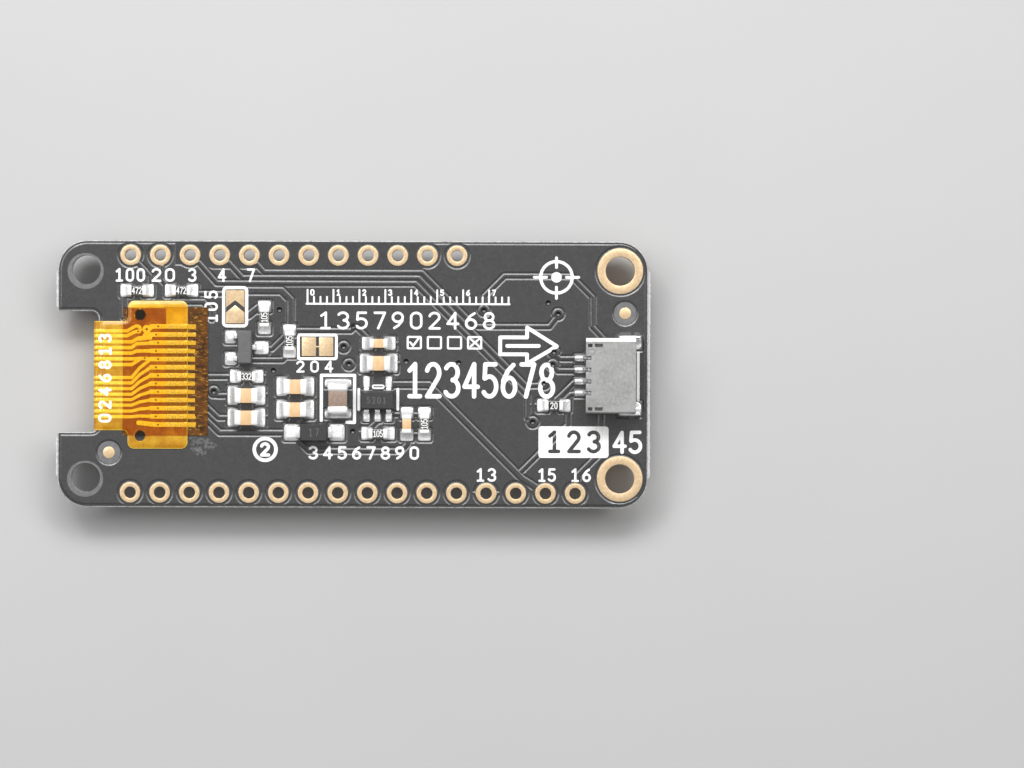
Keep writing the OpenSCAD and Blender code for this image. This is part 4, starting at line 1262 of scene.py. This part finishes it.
for n_ in ("diode_body", "regulator_body"):
    finish_node(n_, M["package_black"], 0.05, 3)
finish_node("transistor_body", M["package_grey"], 0.05, 3)
for n_ in ("diode_leads", "regulator_leads", "transistor_leads"):
    finish_node(n_, M["lead"], 0.025, 2)
house = finish_node("connector_housing", M["nylon"], 0.05, 2)
house.data.materials.append(M["nylon_ridge"])
for p in house.data.polygons:                # the sloped moulded edge that faces up and toward +Y, the lamps' side, takes a near-white, glossier copy of the nylon: a painted highlight
    if p.normal.y > 0.6 and p.normal.z > 0.6:
        p.material_index = 1
finish_node("connector_contacts", M["contact"], 0.03, 2)
finish_node("connector_tabs", M["lead"], 0.03, 2)
finish_node("header_hole_plating", M["gold"], 0.015, 2)
finish_node("mount_hole_plating", M["gold"], 0.02, 2)
finish_node("bare_pads", M["gold"], 0.014, 2)
finish_node("oled_main_glass", M["glass"], 0.04, 2)
finish_node("oled_rear_glass", M["glass"], 0.04, 2)
finish_node("polariser", M["polariser"], 0.02, 2)
finish_node("driver_chip", M["silicon"], 0.02, 2)
finish_node("mounting_tape", M["foam"], 0.03, 2)
for k in "abcd":
    finish_node(f"button_{k}_base", M["btn_base"], 0.04, 2)
    finish_node(f"button_{k}_cover", M["btn_steel"], 0.03, 2)
    finish_node(f"button_{k}_terminals", M["lead"], 0.025, 2)
    finish_node(f"button_{k}_plunger", M["btn_plunger"], 0.09, 3)


# a snap dome under each plunger, built in place of the CAD dome
def dome_mesh(b, cx, cy, base):
    prof = [(0.0, 0.23), (0.2, 0.221), (0.45, 0.2), (0.68, 0.143), (0.85, 0.09), (0.97, 0.036), (1.05, 0.0), (1.12, 0.0),
            (1.03, 0.07), (0.9, 0.14), (0.7, 0.205), (0.48, 0.26), (0.22, 0.274), (0.0, 0.28)]
    n = 64
    t = np.linspace(0, 2 * math.pi, n, endpoint=False)
    vs, start = [], []
    for r, h in prof:
        start.append(len(vs))
        vs += [(cx, cy, base - h)] if r == 0 else [(cx + r * math.cos(a), cy + r * math.sin(a), base - h) for a in t]
    fs = [[start[0], start[1] + i, start[1] + (i + 1) % n] for i in range(n)]
    for o0, o1 in zip(start[1:-2], start[2:-1]):
        fs += [[o0 + i, o1 + i, o1 + (i + 1) % n, o0 + (i + 1) % n] for i in range(n)]
    fs += [[start[-1], start[-2] + (i + 1) % n, start[-2] + i] for i in range(n)]
    b.add(vs, fs)


for k in "abcd":
    lo_, hi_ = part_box(f"button_{k}_dome")
    base_ = 1000 * hi_.z
    at_ = (500 * (lo_.x + hi_.x), 500 * (lo_.y + hi_.y))
    D = Build()
    dome_mesh(D, at_[0], at_[1], base_)
    dome = D.obj(f"snap_dome_{k}", [M["contact"]], angle=40)
    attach(dome, "board")
    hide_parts(f"button_{k}_dome")
    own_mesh(dome)

# the short link between the wide jumper's pads
J = Build()
J.add(*rbox((-3.03, 2.35, Z_B1 + 0.02), (0.34, 0.11, 0.034), 0.012, 2))
link_ = J.obj("jumper_link", [M["gold"]], angle=35)
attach(link_, "board")


# ------------------------------------------------------------------ solder
def blob(b, cx, cy, w, h, turn, top, p=6.0, n=44, base=None):
    """A pad's worth of solder: top(x, y) is its height above the board at a point of the pad's own frame."""
    base = Z_B1 + 0.001 if base is None else base
    ring = (0.16, 0.32, 0.46, 0.6, 0.72, 0.82, 0.9, 0.95, 0.985, 1.0)
    t = np.linspace(0, 2 * math.pi, n, endpoint=False)
    a, c = w / 2, h / 2
    rr = 1 / ((np.abs(np.cos(t)) / a) ** p + (np.abs(np.sin(t)) / c) ** p) ** (1 / p)
    px = np.concatenate([[0]] + [s * rr * np.cos(t) for s in ring])
    py = np.concatenate([[0]] + [s * rr * np.sin(t) for s in ring])
    s_all = np.concatenate([[0]] + [np.full(n, s) for s in ring])
    z = base + top(px, py) * np.sqrt(np.clip(1 - s_all ** 14, 0, 1))
    vs = place(np.column_stack([px, py, z]), (cx, cy), turn)
    fs = [[0, 1 + i, 1 + (i + 1) % n] for i in range(n)]
    for k in range(len(ring) - 1):
        o0, o1 = 1 + k * n, 1 + (k + 1) * n
        fs += [[o0 + i, o1 + i, o1 + (i + 1) % n, o0 + (i + 1) % n] for i in range(n)]
    last = 1 + (len(ring) - 1) * n
    fs.append([last + n - 1 - i for i in range(n)])
    b.add(vs, fs)


def fillet(cx, lx, ly, high, reach, low=0.05, seed=1, side_k=2.2):
    """Height of a joint against a body of half sizes lx, ly whose centre is cx away along x."""
    def top(x, y):
        dx = np.maximum(np.abs(x + cx) - lx, 0)
        dy = np.maximum(np.abs(y) - ly, 0) * side_k
        d = np.clip(np.hypot(dx, dy) / reach, 0, 1)
        z = low + (high - low) * (1 - d) ** 2.2
        return z + 0.018 * wave(x, y, seed, 7.0) * (1 - d * 0.5) + 0.01 * wave(x, y, seed + 9, 17.0)
    return top


J = Build()
seed = 100
for group, l, w, h, span, pw in ((R_AT, 1.6, 0.82, 0.48, 2.86, 1.1), (CS_AT, 1.6, 0.82, 0.8, 2.88, 1.12),
                                 (C_AT, 2.05, 1.3, 0.9, 3.23, 1.62),
                                 ([(L_AT[0], L_AT[1], 90)], 2.6, 1.75, 1.3, 3.34, 2.28)):
    for at in group:
        for s in (-1, 1):
            seed += 1
            a = l / 2
            cx = (a - 0.35 + span / 2) / 2
            t = math.radians(at[2] + (180 if s < 0 else 0))
            hi_ = 0.04 + h * (0.62 + 0.12 * math.sin(seed * 2.1))
            blob(J, at[0] + cx * math.cos(t), at[1] + cx * math.sin(t), span / 2 - a + 0.35, pw,
                 math.degrees(t), fillet(cx, a - 0.01, w / 2 - 0.01, hi_, (span / 2 - a) * 0.98, 0.055, seed))
# under leads: the joint climbs round each foot
FEET = []
for s in (-1, 1):
    FEET.append((D_AT[0] + s * 1.925, D_AT[1], 1.35, 1.44, 0, (s * -0.02, 0.38, 0.45, 0.17)))
for y, lead_y in ((0.87, 0.95), (-0.99, -0.95)):
    FEET.append((Q_AT[0] - 1.22, Q_AT[1] + y, 1.0, 1.08, 0, (0.0, 0.24, 0.2, 0.17)))
FEET.append((Q_AT[0] + 1.37, Q_AT[1] - 0.05, 1.3, 1.08, 0, (0.2, 0.24, 0.2, 0.17)))
for x in (-0.95, 0.95):
    FEET.append((U_AT[0] + x, U_AT[1] + 1.525, 0.6, 1.05, 0, (0.0, 0.2, 0.22, 0.17)))
for x in (-0.95, 0, 0.95):
    FEET.append((U_AT[0] + x, U_AT[1] - 1.425, 0.6, 0.85, 0, (0.0, 0.2, 0.2, 0.17)))
for cx, cy, w, h, turn, (ox, fx, fy, hh) in FEET:
    seed += 1
    sd = seed

    def top(x, y):
        d = np.hypot(np.maximum(np.abs(x + ox) - fx, 0), np.maximum(np.abs(y) - fy, 0))
        q = np.clip(d / 0.32, 0, 1)
        return 0.05 + hh * (1 - q) ** 1.8 + 0.014 * wave(x, y, sd, 8.0)
    blob(J, cx, cy, w, h, turn, top, 5.0)
for i in (-1.5, -0.5, 0.5, 1.5):
    seed += 1
    sd = seed

    def top(x, y):
        d = np.hypot(np.maximum(np.abs(x - 0.0) - 0.36, 0), np.maximum(np.abs(y) - 0.15, 0))
        return 0.05 + 0.19 * (1 - np.clip(d / 0.2, 0, 1)) ** 1.6 + 0.012 * wave(x, y, sd, 8.0)
    blob(J, 19.48, CON_Y + i, 1.04, 0.56, 0, top, 4.0)
for s in (-1, 1):
    seed += 1
    sd = seed

    def top(x, y):
        d = np.abs(y - s * 0.3)
        return 0.06 + 0.5 * (1 - np.clip(d / 0.45, 0, 1)) ** 2.2 * (np.abs(x) < 0.95) + 0.02 * wave(x, y, sd, 6.0)
    blob(J, 23.7, CON_Y + s * 2.84, 2.0, 1.24, 0, top, 4.0)
# finger joints at the edge of the flex
for k, fy in enumerate(FINGER_Y):
    seed += 1
    sd = seed

    def top(x, y):
        d = np.clip((x + 0.36) / 0.62, 0, 1)
        return 0.055 + 0.12 * (1 - d) ** 2 + 0.02 * wave(x, y, sd, 9.0)
    blob(J, -13.82, fy, 0.86, 0.44, 0, top, 4.0)
# under the push buttons' terminals
for bx, by in ((17.9, 6.1), (17.9, 0.0), (17.9, -6.1), (22.9, 0.0)):
    for sx in (-1, 1):
        for sy in (-1, 1):
            vs, fs = rbox((bx + sx * 0.85, by + sy * 2.3, Z_B0 - 0.02), (0.86, 0.86, 0.06), 0.02)
            J.add(vs, fs)
solder = J.obj("solder_fillets", [M["solder"]])
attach(solder, "board")
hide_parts("solder_joints")

# gold links from a ring to the track that leaves it
K = Build()
for w, path in TRACKS:
    for p, q in ((path[0], path[1]), (path[-1], path[-2])):
        for px, py in PINS:
            if math.hypot(p[0] - px, p[1] - py) < 0.3:
                d = np.array([q[0] - px, q[1] - py])
                d = d / np.hypot(*d)
                a = (px + 0.84 * d[0], py + 0.84 * d[1])
                c = (px + 0.9 * d[0], py + 0.9 * d[1])
                vs, fs = ribbon([a, c], w / 2, Z_B1 + 0.001, Z_B1 + 0.034)
                K.add(vs, fs)
for s in (-1, 1):
    a = (11.43 + s * 0.84, -10.16)
    vs, fs = ribbon([a, (11.43 + s * 0.92, -10.16)], 0.11, Z_B1 + 0.001, Z_B1 + 0.034)
    K.add(vs, fs)
stubs = K.obj("ring_links", [M["gold"]], angle=40)
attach(stubs, "board")


# ------------------------------------------------------------------ chip parts
def chip(name, node, at, l, w, h, cap, body, cap_r, code=None, lip=0.03):
    b = Build()
    z0 = Z_C
    vs, fs = rbox((0, 0, z0 + h / 2), (l - 2 * cap + 0.12, w - 2 * lip, h - 2 * lip), 0.035, 2)
    b.add(place(vs, at, at[2]), fs, 0)
    rng = np.random.default_rng(abs(hash_of(name)))
    for s in (-1, 1):
        c = cap * (1 + 0.06 * rng.uniform(-1, 1))
        vs, fs = rbox((s * (l / 2 - c / 2), 0, z0 + h / 2), (c, w, h), cap_r, 4)
        # the inner rim of the metal is a little uneven, and its top is soft
        x, y, z = vs[:, 0], vs[:, 1], vs[:, 2]
        inner = (s * x < l / 2 - c * 0.6)
        vs[:, 0] = x + np.where(inner, s * 0.02 * wave(y, z, int(rng.integers(1e6)), 6.0), 0)
        b.add(place(vs, at, at[2]), fs, 1)
    if code is not None:
        gl = l - 2 * cap + 0.02
        vs, fs = rbox((0, 0, z0 + h - lip - 0.005), (gl, w - 2 * lip - 0.05, 0.06), 0.028, 3)
        b.add(place(vs, at, at[2]), fs, 2)
        zt = z0 + h - lip + 0.025
        hh = 0.5
        pitch = 0.29 if len(code) == 3 else 0.34
        tot = pitch * (len(code) - 1) + 0.6 * 0.37
        q, ts = inked(strokes(code, -tot / 2, -hh / 2, hh, pitch, 0.0, "left", 0.37), 0.043)
        up = place(np.column_stack([q, np.full(len(q), zt + 0.005)]), at, at[2])
        dn = place(np.column_stack([q, np.full(len(q), zt - 0.004)]), at, at[2])
        prism(b, up, dn, ts, 3)
    o = b.obj(name, [body, M["tin"], M["glaze"], M["marking"]], angle=35)
    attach(o, "board")
    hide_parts(node)
    return o


def hash_of(s):
    v = 7
    for ch in s:
        v = (v * 131 + ord(ch)) % 1000003
    return v


CODES = ["472", "472", "105", "105", "332", "105", "105", "20"]
for i, at in enumerate(R_AT):
    chip(f"resistor_{i + 1}_looks", f"resistor_{i + 1}", at, 1.6, 0.82, 0.48, 0.35, M["alumina"], 0.075,
         CODES[i])
for i, at in enumerate(C_AT):
    chip(f"capacitor_{i + 1}_looks", f"capacitor_{i + 1}", at, 2.05, 1.3, 0.9, 0.6, M["ceramic"], 0.15)
for i, at in enumerate(CS_AT):
    chip(f"capacitor_{i + 6}_looks", f"capacitor_{i + 6}", at, 1.6, 0.82, 0.8, 0.41, M["ceramic"], 0.12)
chip("chip_inductor_looks", "chip_inductor", (L_AT[0], L_AT[1], 90), 2.6, 1.75, 1.3, 0.7, M["ferrite"], 0.24,
     lip=0.08)

# faint figures on the moulded cases
F = Build()
for text, x, y, hgt, top_z, turn in (("5201", U_AT[0] - 0.88, U_AT[1] - 0.26, 0.5, Z_C + 1.16, 0),
                                     ("17", D_AT[0] - 0.42, D_AT[1] - 0.3, 0.6, Z_C + 1.16, 0),
                                     ("14", Q_AT[0] + 0.3, Q_AT[1] - 0.45, 0.56, Z_C + 1.06, 90)):
    q, ts = inked(strokes(text, x, y, hgt, hgt * 0.9, turn, "left", hgt * 0.8), 0.034)
    prism(F, np.column_stack([q, np.full(len(q), top_z + 0.003)]),
          np.column_stack([q, np.full(len(q), top_z - 0.004)]), ts)
fm = Mat("laser_mark", rgb(96, 96, 98), 0.6)
fm.vary(fm.noise(12, 3), rgb(72, 72, 74), 0.8)
fm.bump(fm.noise(40, 2), 0.002)
fig = F.obj("case_figures", [fm.m], angle=40)
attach(fig, "board")


# ------------------------------------------------------------------ the flex
# u runs along the flex: it is X over the board, and arc length past the crease
U_CREASE = -21.49
Z_FLEX = 3.705                               # middle of the film over the board
HALF = 0.038
PATH = []


def make_path():
    pts = [(-13.9, Z_FLEX), (U_CREASE, Z_FLEX), (-21.86, Z_FLEX - 0.045)]
    cx, cz, r = -21.86, Z_FLEX - 0.045 - 0.28, 0.28
    pts += [(cx - r * math.sin(a), cz + r * math.cos(a)) for a in np.radians(np.linspace(12, 90, 8))]
    pts += [(-22.14, 3.0), (-22.14, 2.2), (-22.14, 1.47)]
    cx, cz, r = -21.64, 1.47, 0.5
    pts += [(cx - r * math.cos(a), cz - r * math.sin(a)) for a in np.radians(np.linspace(10, 90, 10))]
    pts += [(-20.8, 0.97), (-19.9, 0.97)]
    return np.array(pts)


PATH = make_path()
step = np.hypot(*(PATH[1:] - PATH[:-1]).T)
PU = -13.9 - np.concatenate([[0], np.cumsum(step)])
tan = np.gradient(PATH, PU, axis=0)
tan /= np.hypot(tan[:, 0], tan[:, 1])[:, None]
PU_R, PATH_R, TAN_R = PU[::-1], PATH[::-1], tan[::-1]
U_END = PU_R[0]


def flex_point(u, y, h):
    """A point h above the middle of the film."""
    x = np.interp(u, PU_R, PATH_R[:, 0])
    z = np.interp(u, PU_R, PATH_R[:, 1])
    tx = np.interp(u, PU_R, TAN_R[:, 0])
    tz = np.interp(u, PU_R, TAN_R[:, 1])
    n = np.maximum(np.hypot(tx, tz), 1e-9)
    return np.column_stack([x - h * tz / n, y, z + h * tx / n])


def flex_edge(u, y):
    a = d_rect(u, y, (U_END - 15.5) / 2, -0.175, -15.5 - U_END, 9.33, 0.02)
    b = d_rect(u, y, -16.695, -0.085, 5.11, 12.65, 0.55)
    k = 0.42
    return np.maximum(k, np.minimum(a, b)) - np.hypot(np.maximum(k - a, 0), np.maximum(k - b, 0))


TY = [3.65, 3.23, 2.72, 2.22, 1.75, 1.26, 0.77, -0.34, -0.80, -1.29, -1.77, -2.23, -2.70, -3.21, -3.69]
FL = []                                     # half width, points
X0 = U_END + 0.3
fan = {3: 3, 4: 4, 7: 5, 8: 6, 9: 7, 10: 8, 11: 9, 12: 10, 13: 11, 14: 12}    # neck track -> finger
for k, ty in enumerate(TY):
    n = k + 1
    if k in (2,):
        FL.append((0.15, [(X0, ty), (-18.9, ty), (-18.3, 3.05), (-17.3, 3.05)]))
    elif k == 0:
        FL.append((0.14, [(X0, ty), (-19.3, ty), (-18.75, 3.98), (-18.45, 4.1), (-18.24, 4.0), (-18.16, 3.76),
                          (-18.3, 3.55)]))
    elif k == 1:
        FL.append((0.15, [(X0, ty), (-19.3, ty), (-18.75, 3.52), (-18.4, 3.62)]))
    elif k == 3:
        FL.append((0.15, [(X0, ty), (-18.9, ty), (-18.5, 2.55), (-17.5, 2.6), (-17.2, 2.65)]))
    elif k == 4:
        FL.append((0.15, [(X0, ty), (-18.9, ty), (-18.5, 1.93), (-17.2, 1.95)]))
    elif k in (5, 6):
        FL.append((0.15, [(X0, ty), (-18.9, ty), (-18.1, 1.3), (-17.75, 1.3)]))
    else:
        f = FINGER_Y[k - 3]
        FL.append((0.138, [(X0, ty), (-18.9, ty), (-18.2, (ty + f) / 2 + 0.05), (-17.25, f), (-17.0, f)]))
for i, f in enumerate(FINGER_Y):
    FL.append((0.2, [(-17.25 if i < 12 else -18.3, f if i != 12 else f + 0.15), (-16.9, f), (-14.2, f)]))
FL.append((0.17, [(-18.25, 2.98), (-17.95, 3.02), (-17.55, 3.06), (-17.35, 3.1)]))
FL.append((0.16, [(-17.9, 3.1), (-17.72, 3.4), (-17.3, 3.35)]))
FL.append((0.13, arc(-17.63, 3.8, 0.24, 0.24, 0, 360, 10)))
FL.append((0.15, [(-17.35, 3.85), (-17.1, 4.0)]))
FL.append((0.16, [(-17.75, 1.3), (-17.2, 1.25)]))

FG = Grid(U_END - 0.1, -13.9, -6.6, 6.5, 0.035)
track = FG.blank(0.4)
for hw, path in FL:
    for a, c in zip(path[:-1], path[1:]):
        FG.union(track, lambda x, y: d_seg(x, y, a, c, hw),
                 (min(a[0], c[0]), min(a[1], c[1]), max(a[0], c[0]), max(a[1], c[1])), 0.4)
gu, gy = np.meshgrid(FG.x, FG.y)
f_body = np.maximum(flex_edge(gu, gy), U_END - gu)
f_edge = f_body
for hy in (5.06, -5.33):
    f_edge = np.maximum(f_edge, 0.44 - np.hypot(gu + 18.19, gy - hy))
VIA_DOTS = [(-16.65 if i % 2 == 0 else -16.83, f) for i, f in enumerate(FINGER_Y)] + [
    (-18.36, 3.62), (-17.8, 1.33)]
DIMPLES = [(-16.65 if i % 2 == 0 else -16.83, f) for i, f in enumerate(FINGER_Y)]


def flex_lift(u, y):
    """How far the film stands off along its length: it bellies a little and its long edges turn down."""
    d = np.clip(-FG.sample(f_body, u, y), 0, 1)
    over = sm((u - (U_CREASE - 0.05)) / 0.3)
    belly = 0.13 * np.sin(np.clip(d / 0.55, 0, 1) * math.pi / 2) * over
    soft = 0.014 * wave(u, y, 77, 1.1) * over * sm(d / 0.5)
    crease = 0.016 * np.exp(-((u - U_CREASE) / 0.1) ** 2) * (0.5 + 0.5 * wave(y, u * 0, 5, 1.7))
    return belly + soft + crease


def track_rise(u, y):
    t = np.clip((FG.sample(track, u, y) + 0.05) / 0.09, 0, 1)
    z = 0.016 * (1 - sm(t))
    for dx, dy in DIMPLES:
        r = np.hypot(u - dx, y - dy)
        z = z - 0.018 * np.where(r < 0.12, 1 - sm(r / 0.12), 0)
    return z


flines = FG.lines(f_edge, 0.0, 0.004)
flines_in = []
for lv in (-0.05, -0.12, -0.2, -0.3, -0.42, -0.55):
    flines_in += FG.lines(f_body, lv, 0.006)
tlines = []
for lv in (-0.05, -0.005, 0.04):
    tlines += FG.lines(track, lv, 0.005)
cross = [np.array([(u, -6.6), (u, 6.5)]) for u in list(PU_R[1:-1]) + [-21.6, -21.4, -21.3, -21.2] +
         list(np.arange(-21.0, -14.0, 0.35)) + [-15.97, -19.66]]
cross += [np.array([(-19.6, -5.29), (-13.9, -5.29)]), np.array([(-19.6, 5.6), (-13.9, 5.6)]),
          np.array([(-15.97, 4.25), (-13.9, 4.25)]), np.array([(-15.97, -4.4), (-13.9, -4.4)])]
dots = [circle_pts(x, y, 0.085, 10) for x, y in VIA_DOTS]
fv, ft = triangulate(flines + flines_in + tlines + cross + dots)
fc = fv[ft].mean(1)
ft = ft[FG.sample(f_edge, fc[:, 0], fc[:, 1]) < 0]
used = np.unique(ft)
remap = np.full(len(fv), -1)
remap[used] = np.arange(len(used))
fv, ft = fv[used], remap[ft]
fc = fv[ft].mean(1)


def flex_surface(u, y, side):
    lift = flex_lift(u, y)
    return flex_point(u, y, lift + (HALF + track_rise(u, y) if side > 0 else -HALF))


tmid = FG.sample(track, fc[:, 0], fc[:, 1])
emid = -FG.sample(f_edge, fc[:, 0], fc[:, 1])
fmat = np.where(tmid < -0.005, 1, 0)
fmat = np.where((tmid < -0.005) & (fc[:, 0] > -15.97), 2, fmat)
fmat = np.where((tmid >= -0.005) & ((fc[:, 0] < -19.66) | (fc[:, 1] < -5.29) | (fc[:, 1] > 5.6)), 5, fmat)
fmat = np.where((tmid >= -0.005) & (fc[:, 0] > -15.97) & (fc[:, 1] < 4.25) & (fc[:, 1] > -4.4), 6, fmat)
# the head's upper corner and its top margin take the pale film; on the top margin this is partly painted highlight
fmat = np.where((tmid >= -0.005) & (((fc[:, 0] > -15.97) & (fc[:, 1] > 4.25)) | (fc[:, 1] > 5.6)), 7, fmat)
fmat = np.where((emid < 0.05), 3, fmat)
for x, y in VIA_DOTS:
    fmat = np.where(np.hypot(fc[:, 0] - x, fc[:, 1] - y) < 0.083, 4, fmat)
X = Build()
topv = flex_surface(fv[:, 0], fv[:, 1], 1)
botv = flex_surface(fv[:, 0], fv[:, 1], -1)
X.add(topv, ft, fmat)
X.add(botv, ft[:, ::-1], 0)
n = len(fv)
for a, b in rim(ft):
    X.f.append([n + a, n + b, b, a])
    X.m.append(3)
flex = X.obj("flex_film_and_tracks", [M["film"], M["track"], M["finger"], M["film_edge"], M["flex_via"],
                                     M["film_bare"], M["film_gaps"], M["film_pale"]], angle=40)
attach(flex, "board")
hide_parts("flex_tail")

# plain figures printed across the neck
W = Build()
q, ts = inked(strokes("0246813", -20.72, -4.1, 0.95, 1.14, 90, "left", 0.95), 0.115,
              [np.array([(x, -5.0), (x, 5.0)]) for x in (-21.6, -21.49, -21.38, -21.2)])
lift = flex_lift(q[:, 0], q[:, 1])
prism(W, flex_point(q[:, 0], q[:, 1], lift + HALF + 0.024), flex_point(q[:, 0], q[:, 1], lift + HALF - 0.002), ts)
fig = W.obj("flex_figures", [M["flex_ink"]], angle=40)
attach(fig, "board")

# ------------------------------------------------------------------ the tape over the joints
TX0, TX1, TY0, TY1 = -19.66, -12.39, -5.29, 5.68
nx, ny = 86, 124
xs = np.linspace(0, 1, nx)
ys = np.linspace(0, 1, ny)
uu, vv = np.meshgrid(xs, ys)
tx = TX0 + (TX1 - TX0) * uu + 0.03 * wave(vv * 11, uu * 0, 61, 1.3) * (np.abs(uu - 0.5) * 2) ** 6
ty = TY0 + (TY1 - TY0) * vv + 0.025 * wave(uu * 7, vv * 0, 62, 1.1) * (np.abs(vv - 0.5) * 2) ** 6
on = sm((-FG.sample(f_body, tx, ty) + 0.16) / 0.22)
on = np.where(tx > -14.12, np.clip(1 - (tx + 14.16) / 0.55, 0, 1) ** 1.6, on)
flex_z = flex_surface(np.clip(tx.ravel(), -21, -14.17), ty.ravel(), 1)[:, 2].reshape(tx.shape)
low_z = Z_CU + 0.012
wr = 0.010 * wave(tx, ty, 63, 2.2) + 0.006 * wave(tx * 0.6, ty, 64, 7.0)
tz = low_z + (np.maximum(flex_z, low_z) + 0.014 - low_z) * on + np.maximum(wr, -0.008)
far = np.clip((tx + 13.3) / 0.9, 0, 1)
tz = tz + 0.035 * sm(far) * (0.6 + 0.4 * wave(ty, tx, 65, 1.4)) + 0.012
Tt = 0.045
T = Build()
vs = np.concatenate([np.column_stack([tx.ravel(), ty.ravel(), (tz + Tt).ravel()]),
                     np.column_stack([tx.ravel(), ty.ravel(), tz.ravel()])])
m_ = nx * ny
fs = []
tmat = []
c_x = (tx[:-1, :-1] + tx[1:, 1:]) / 2
c_y = (ty[:-1, :-1] + ty[1:, 1:]) / 2
dark = ((FG.sample(f_edge, c_x, c_y) > 0.02) | (c_x > -14.13)).astype(int)
joint = (c_x > -14.16) & (c_x < -13.46) & (np.min([np.abs(c_y - f) for f in FINGER_Y], axis=0) < 0.2)
dark = np.where(joint, 2, dark)
for hy in (5.06, -5.33):
    dark = np.where(np.hypot(c_x + 18.19, c_y - hy) < 0.47, 3, dark)
for j in range(ny - 1):
    for i in range(nx - 1):
        a = j * nx + i
        fs.append([a, a + 1, a + nx + 1, a + nx])
        fs.append([m_ + a, m_ + a + nx, m_ + a + nx + 1, m_ + a + 1])
        tmat += [int(dark[j, i])] * 2
loop = ([i for i in range(nx)] + [j * nx + nx - 1 for j in range(1, ny)]
        + [(ny - 1) * nx + i for i in range(nx - 2, -1, -1)] + [j * nx for j in range(ny - 2, 0, -1)])
for a, b in zip(loop, loop[1:] + loop[:1]):
    fs.append([m_ + a, m_ + b, b, a])
    tmat.append(1)
T.add(vs, fs, np.array(tmat))
tape = T.obj("flex_tape_film", [M["tape"], M["tape_dark"], M["tape_gold"], M["tape_hole"]], angle=50)
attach(tape, "board")
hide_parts("flex_cover_tape")

# ------------------------------------------------------------------ dried flux beside the flex
Q = Build()
n, m = 40, 10
c0 = (-12.95, -6.15)
tt = np.linspace(0, 2 * math.pi, n, endpoint=False)
rad = 0.95 + 0.16 * np.sin(3 * tt + 1) + 0.12 * np.sin(5 * tt + 2.3) + 0.06 * np.sin(9 * tt)
vs = [(c0[0], c0[1], Z_CU + 0.05)]
for k in range(1, m + 1):
    s = k / m
    for a, r in zip(tt, rad):
        x, y = c0[0] + s * r * 1.15 * math.cos(a), c0[1] + s * r * 0.8 * math.sin(a)
        vs.append((x, y, Z_CU + 0.004 + 0.045 * (1 - s ** 3) + 0.012 * (1 - s) * wave(x, y, 71, 6.0)))
fs = [[0, 1 + i, 1 + (i + 1) % n] for i in range(n)]
for k in range(m - 1):
    o0, o1 = 1 + k * n, 1 + (k + 1) * n
    fs += [[o0 + i, o1 + i, o1 + (i + 1) % n, o0 + (i + 1) % n] for i in range(n)]
last = 1 + (m - 1) * n
vs += [(v[0], v[1], Z_CU + 0.001) for v in vs[last:last + n]]
o1 = last + n
fs += [[last + i, o1 + i, o1 + (i + 1) % n, last + (i + 1) % n] for i in range(n)]
fs.append([o1 + n - 1 - i for i in range(n)])
Q.add(vs, fs)
flux = Q.obj("flux_residue", [M["flux"]])
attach(flux, "board")


# ------------------------------------------------------------------ floor, light and camera
B = Build()
n = 24
xs = np.linspace(-900, 900, n)
vs = [(x, y, 0.0) for y in xs for x in xs]
fs = [[j * n + i, j * n + i + 1, (j + 1) * n + i + 1, (j + 1) * n + i] for j in range(n - 1) for i in range(n - 1)]
B.add(vs, fs)
floor_m = Mat("floor_paper", rgb(184, 184, 184), 0.9)
floor_m.vary(floor_m.noise(0.02, 3), rgb(180, 180, 180), 0.5)
floor = B.obj("floor", [floor_m.m])


def area(name, at, to, size, size_y, power):
    d = bpy.data.lights.new(name, "AREA")
    d.shape = "RECTANGLE"
    d.size, d.size_y = size, size_y
    d.energy = power
    o = bpy.data.objects.new(name, d)
    scene.collection.objects.link(o)
    o.location = Vector(at)
    o.rotation_euler = (Vector(to) - Vector(at)).to_track_quat("-Z", "Y").to_euler()
    return o


def key(name, azimuth, radiance, w, h):
    a = math.radians(azimuth)
    return area(name, (0.225 * math.cos(a), 0.225 * math.sin(a), 0.268), (0.0, 0.0, 0.003), w, h,
                radiance * math.pi * w * h)


keys = [key("key_softbox", 96, 9.2, 0.28, 0.11), key("key_right", 40, 4.6, 0.28, 0.11),
        key("key_left", 146, 5.2, 0.28, 0.11)]
top = area("overhead_panel", (0.02, 0.0, 0.56), (0.02, 0.0, 0.0), 0.46, 0.46, 0.3 * math.pi * 0.46 * 0.46)
world = bpy.data.worlds.new("studio")
scene.world = world
world.use_nodes = True
wn = world.node_tree
bg = wn.nodes["Background"]
bg.inputs["Color"].default_value = (1.0, 1.0, 1.0, 1.0)
bg.inputs["Strength"].default_value = 0.34

cam_d = bpy.data.cameras.new("camera")
cam_d.sensor_width = 36.0
cam_d.lens = 195.0
cam_d.clip_start, cam_d.clip_end = 0.01, 10.0
cam = bpy.data.objects.new("camera", cam_d)
scene.collection.objects.link(cam)
cam.location = (0.01362, -0.00079, 0.0036 + 0.4747)
cam.rotation_euler = (0.0, 0.0, math.radians(0.17))
scene.camera = cam
scene.view_settings.view_transform = "Standard"
scene.view_settings.look = "None"
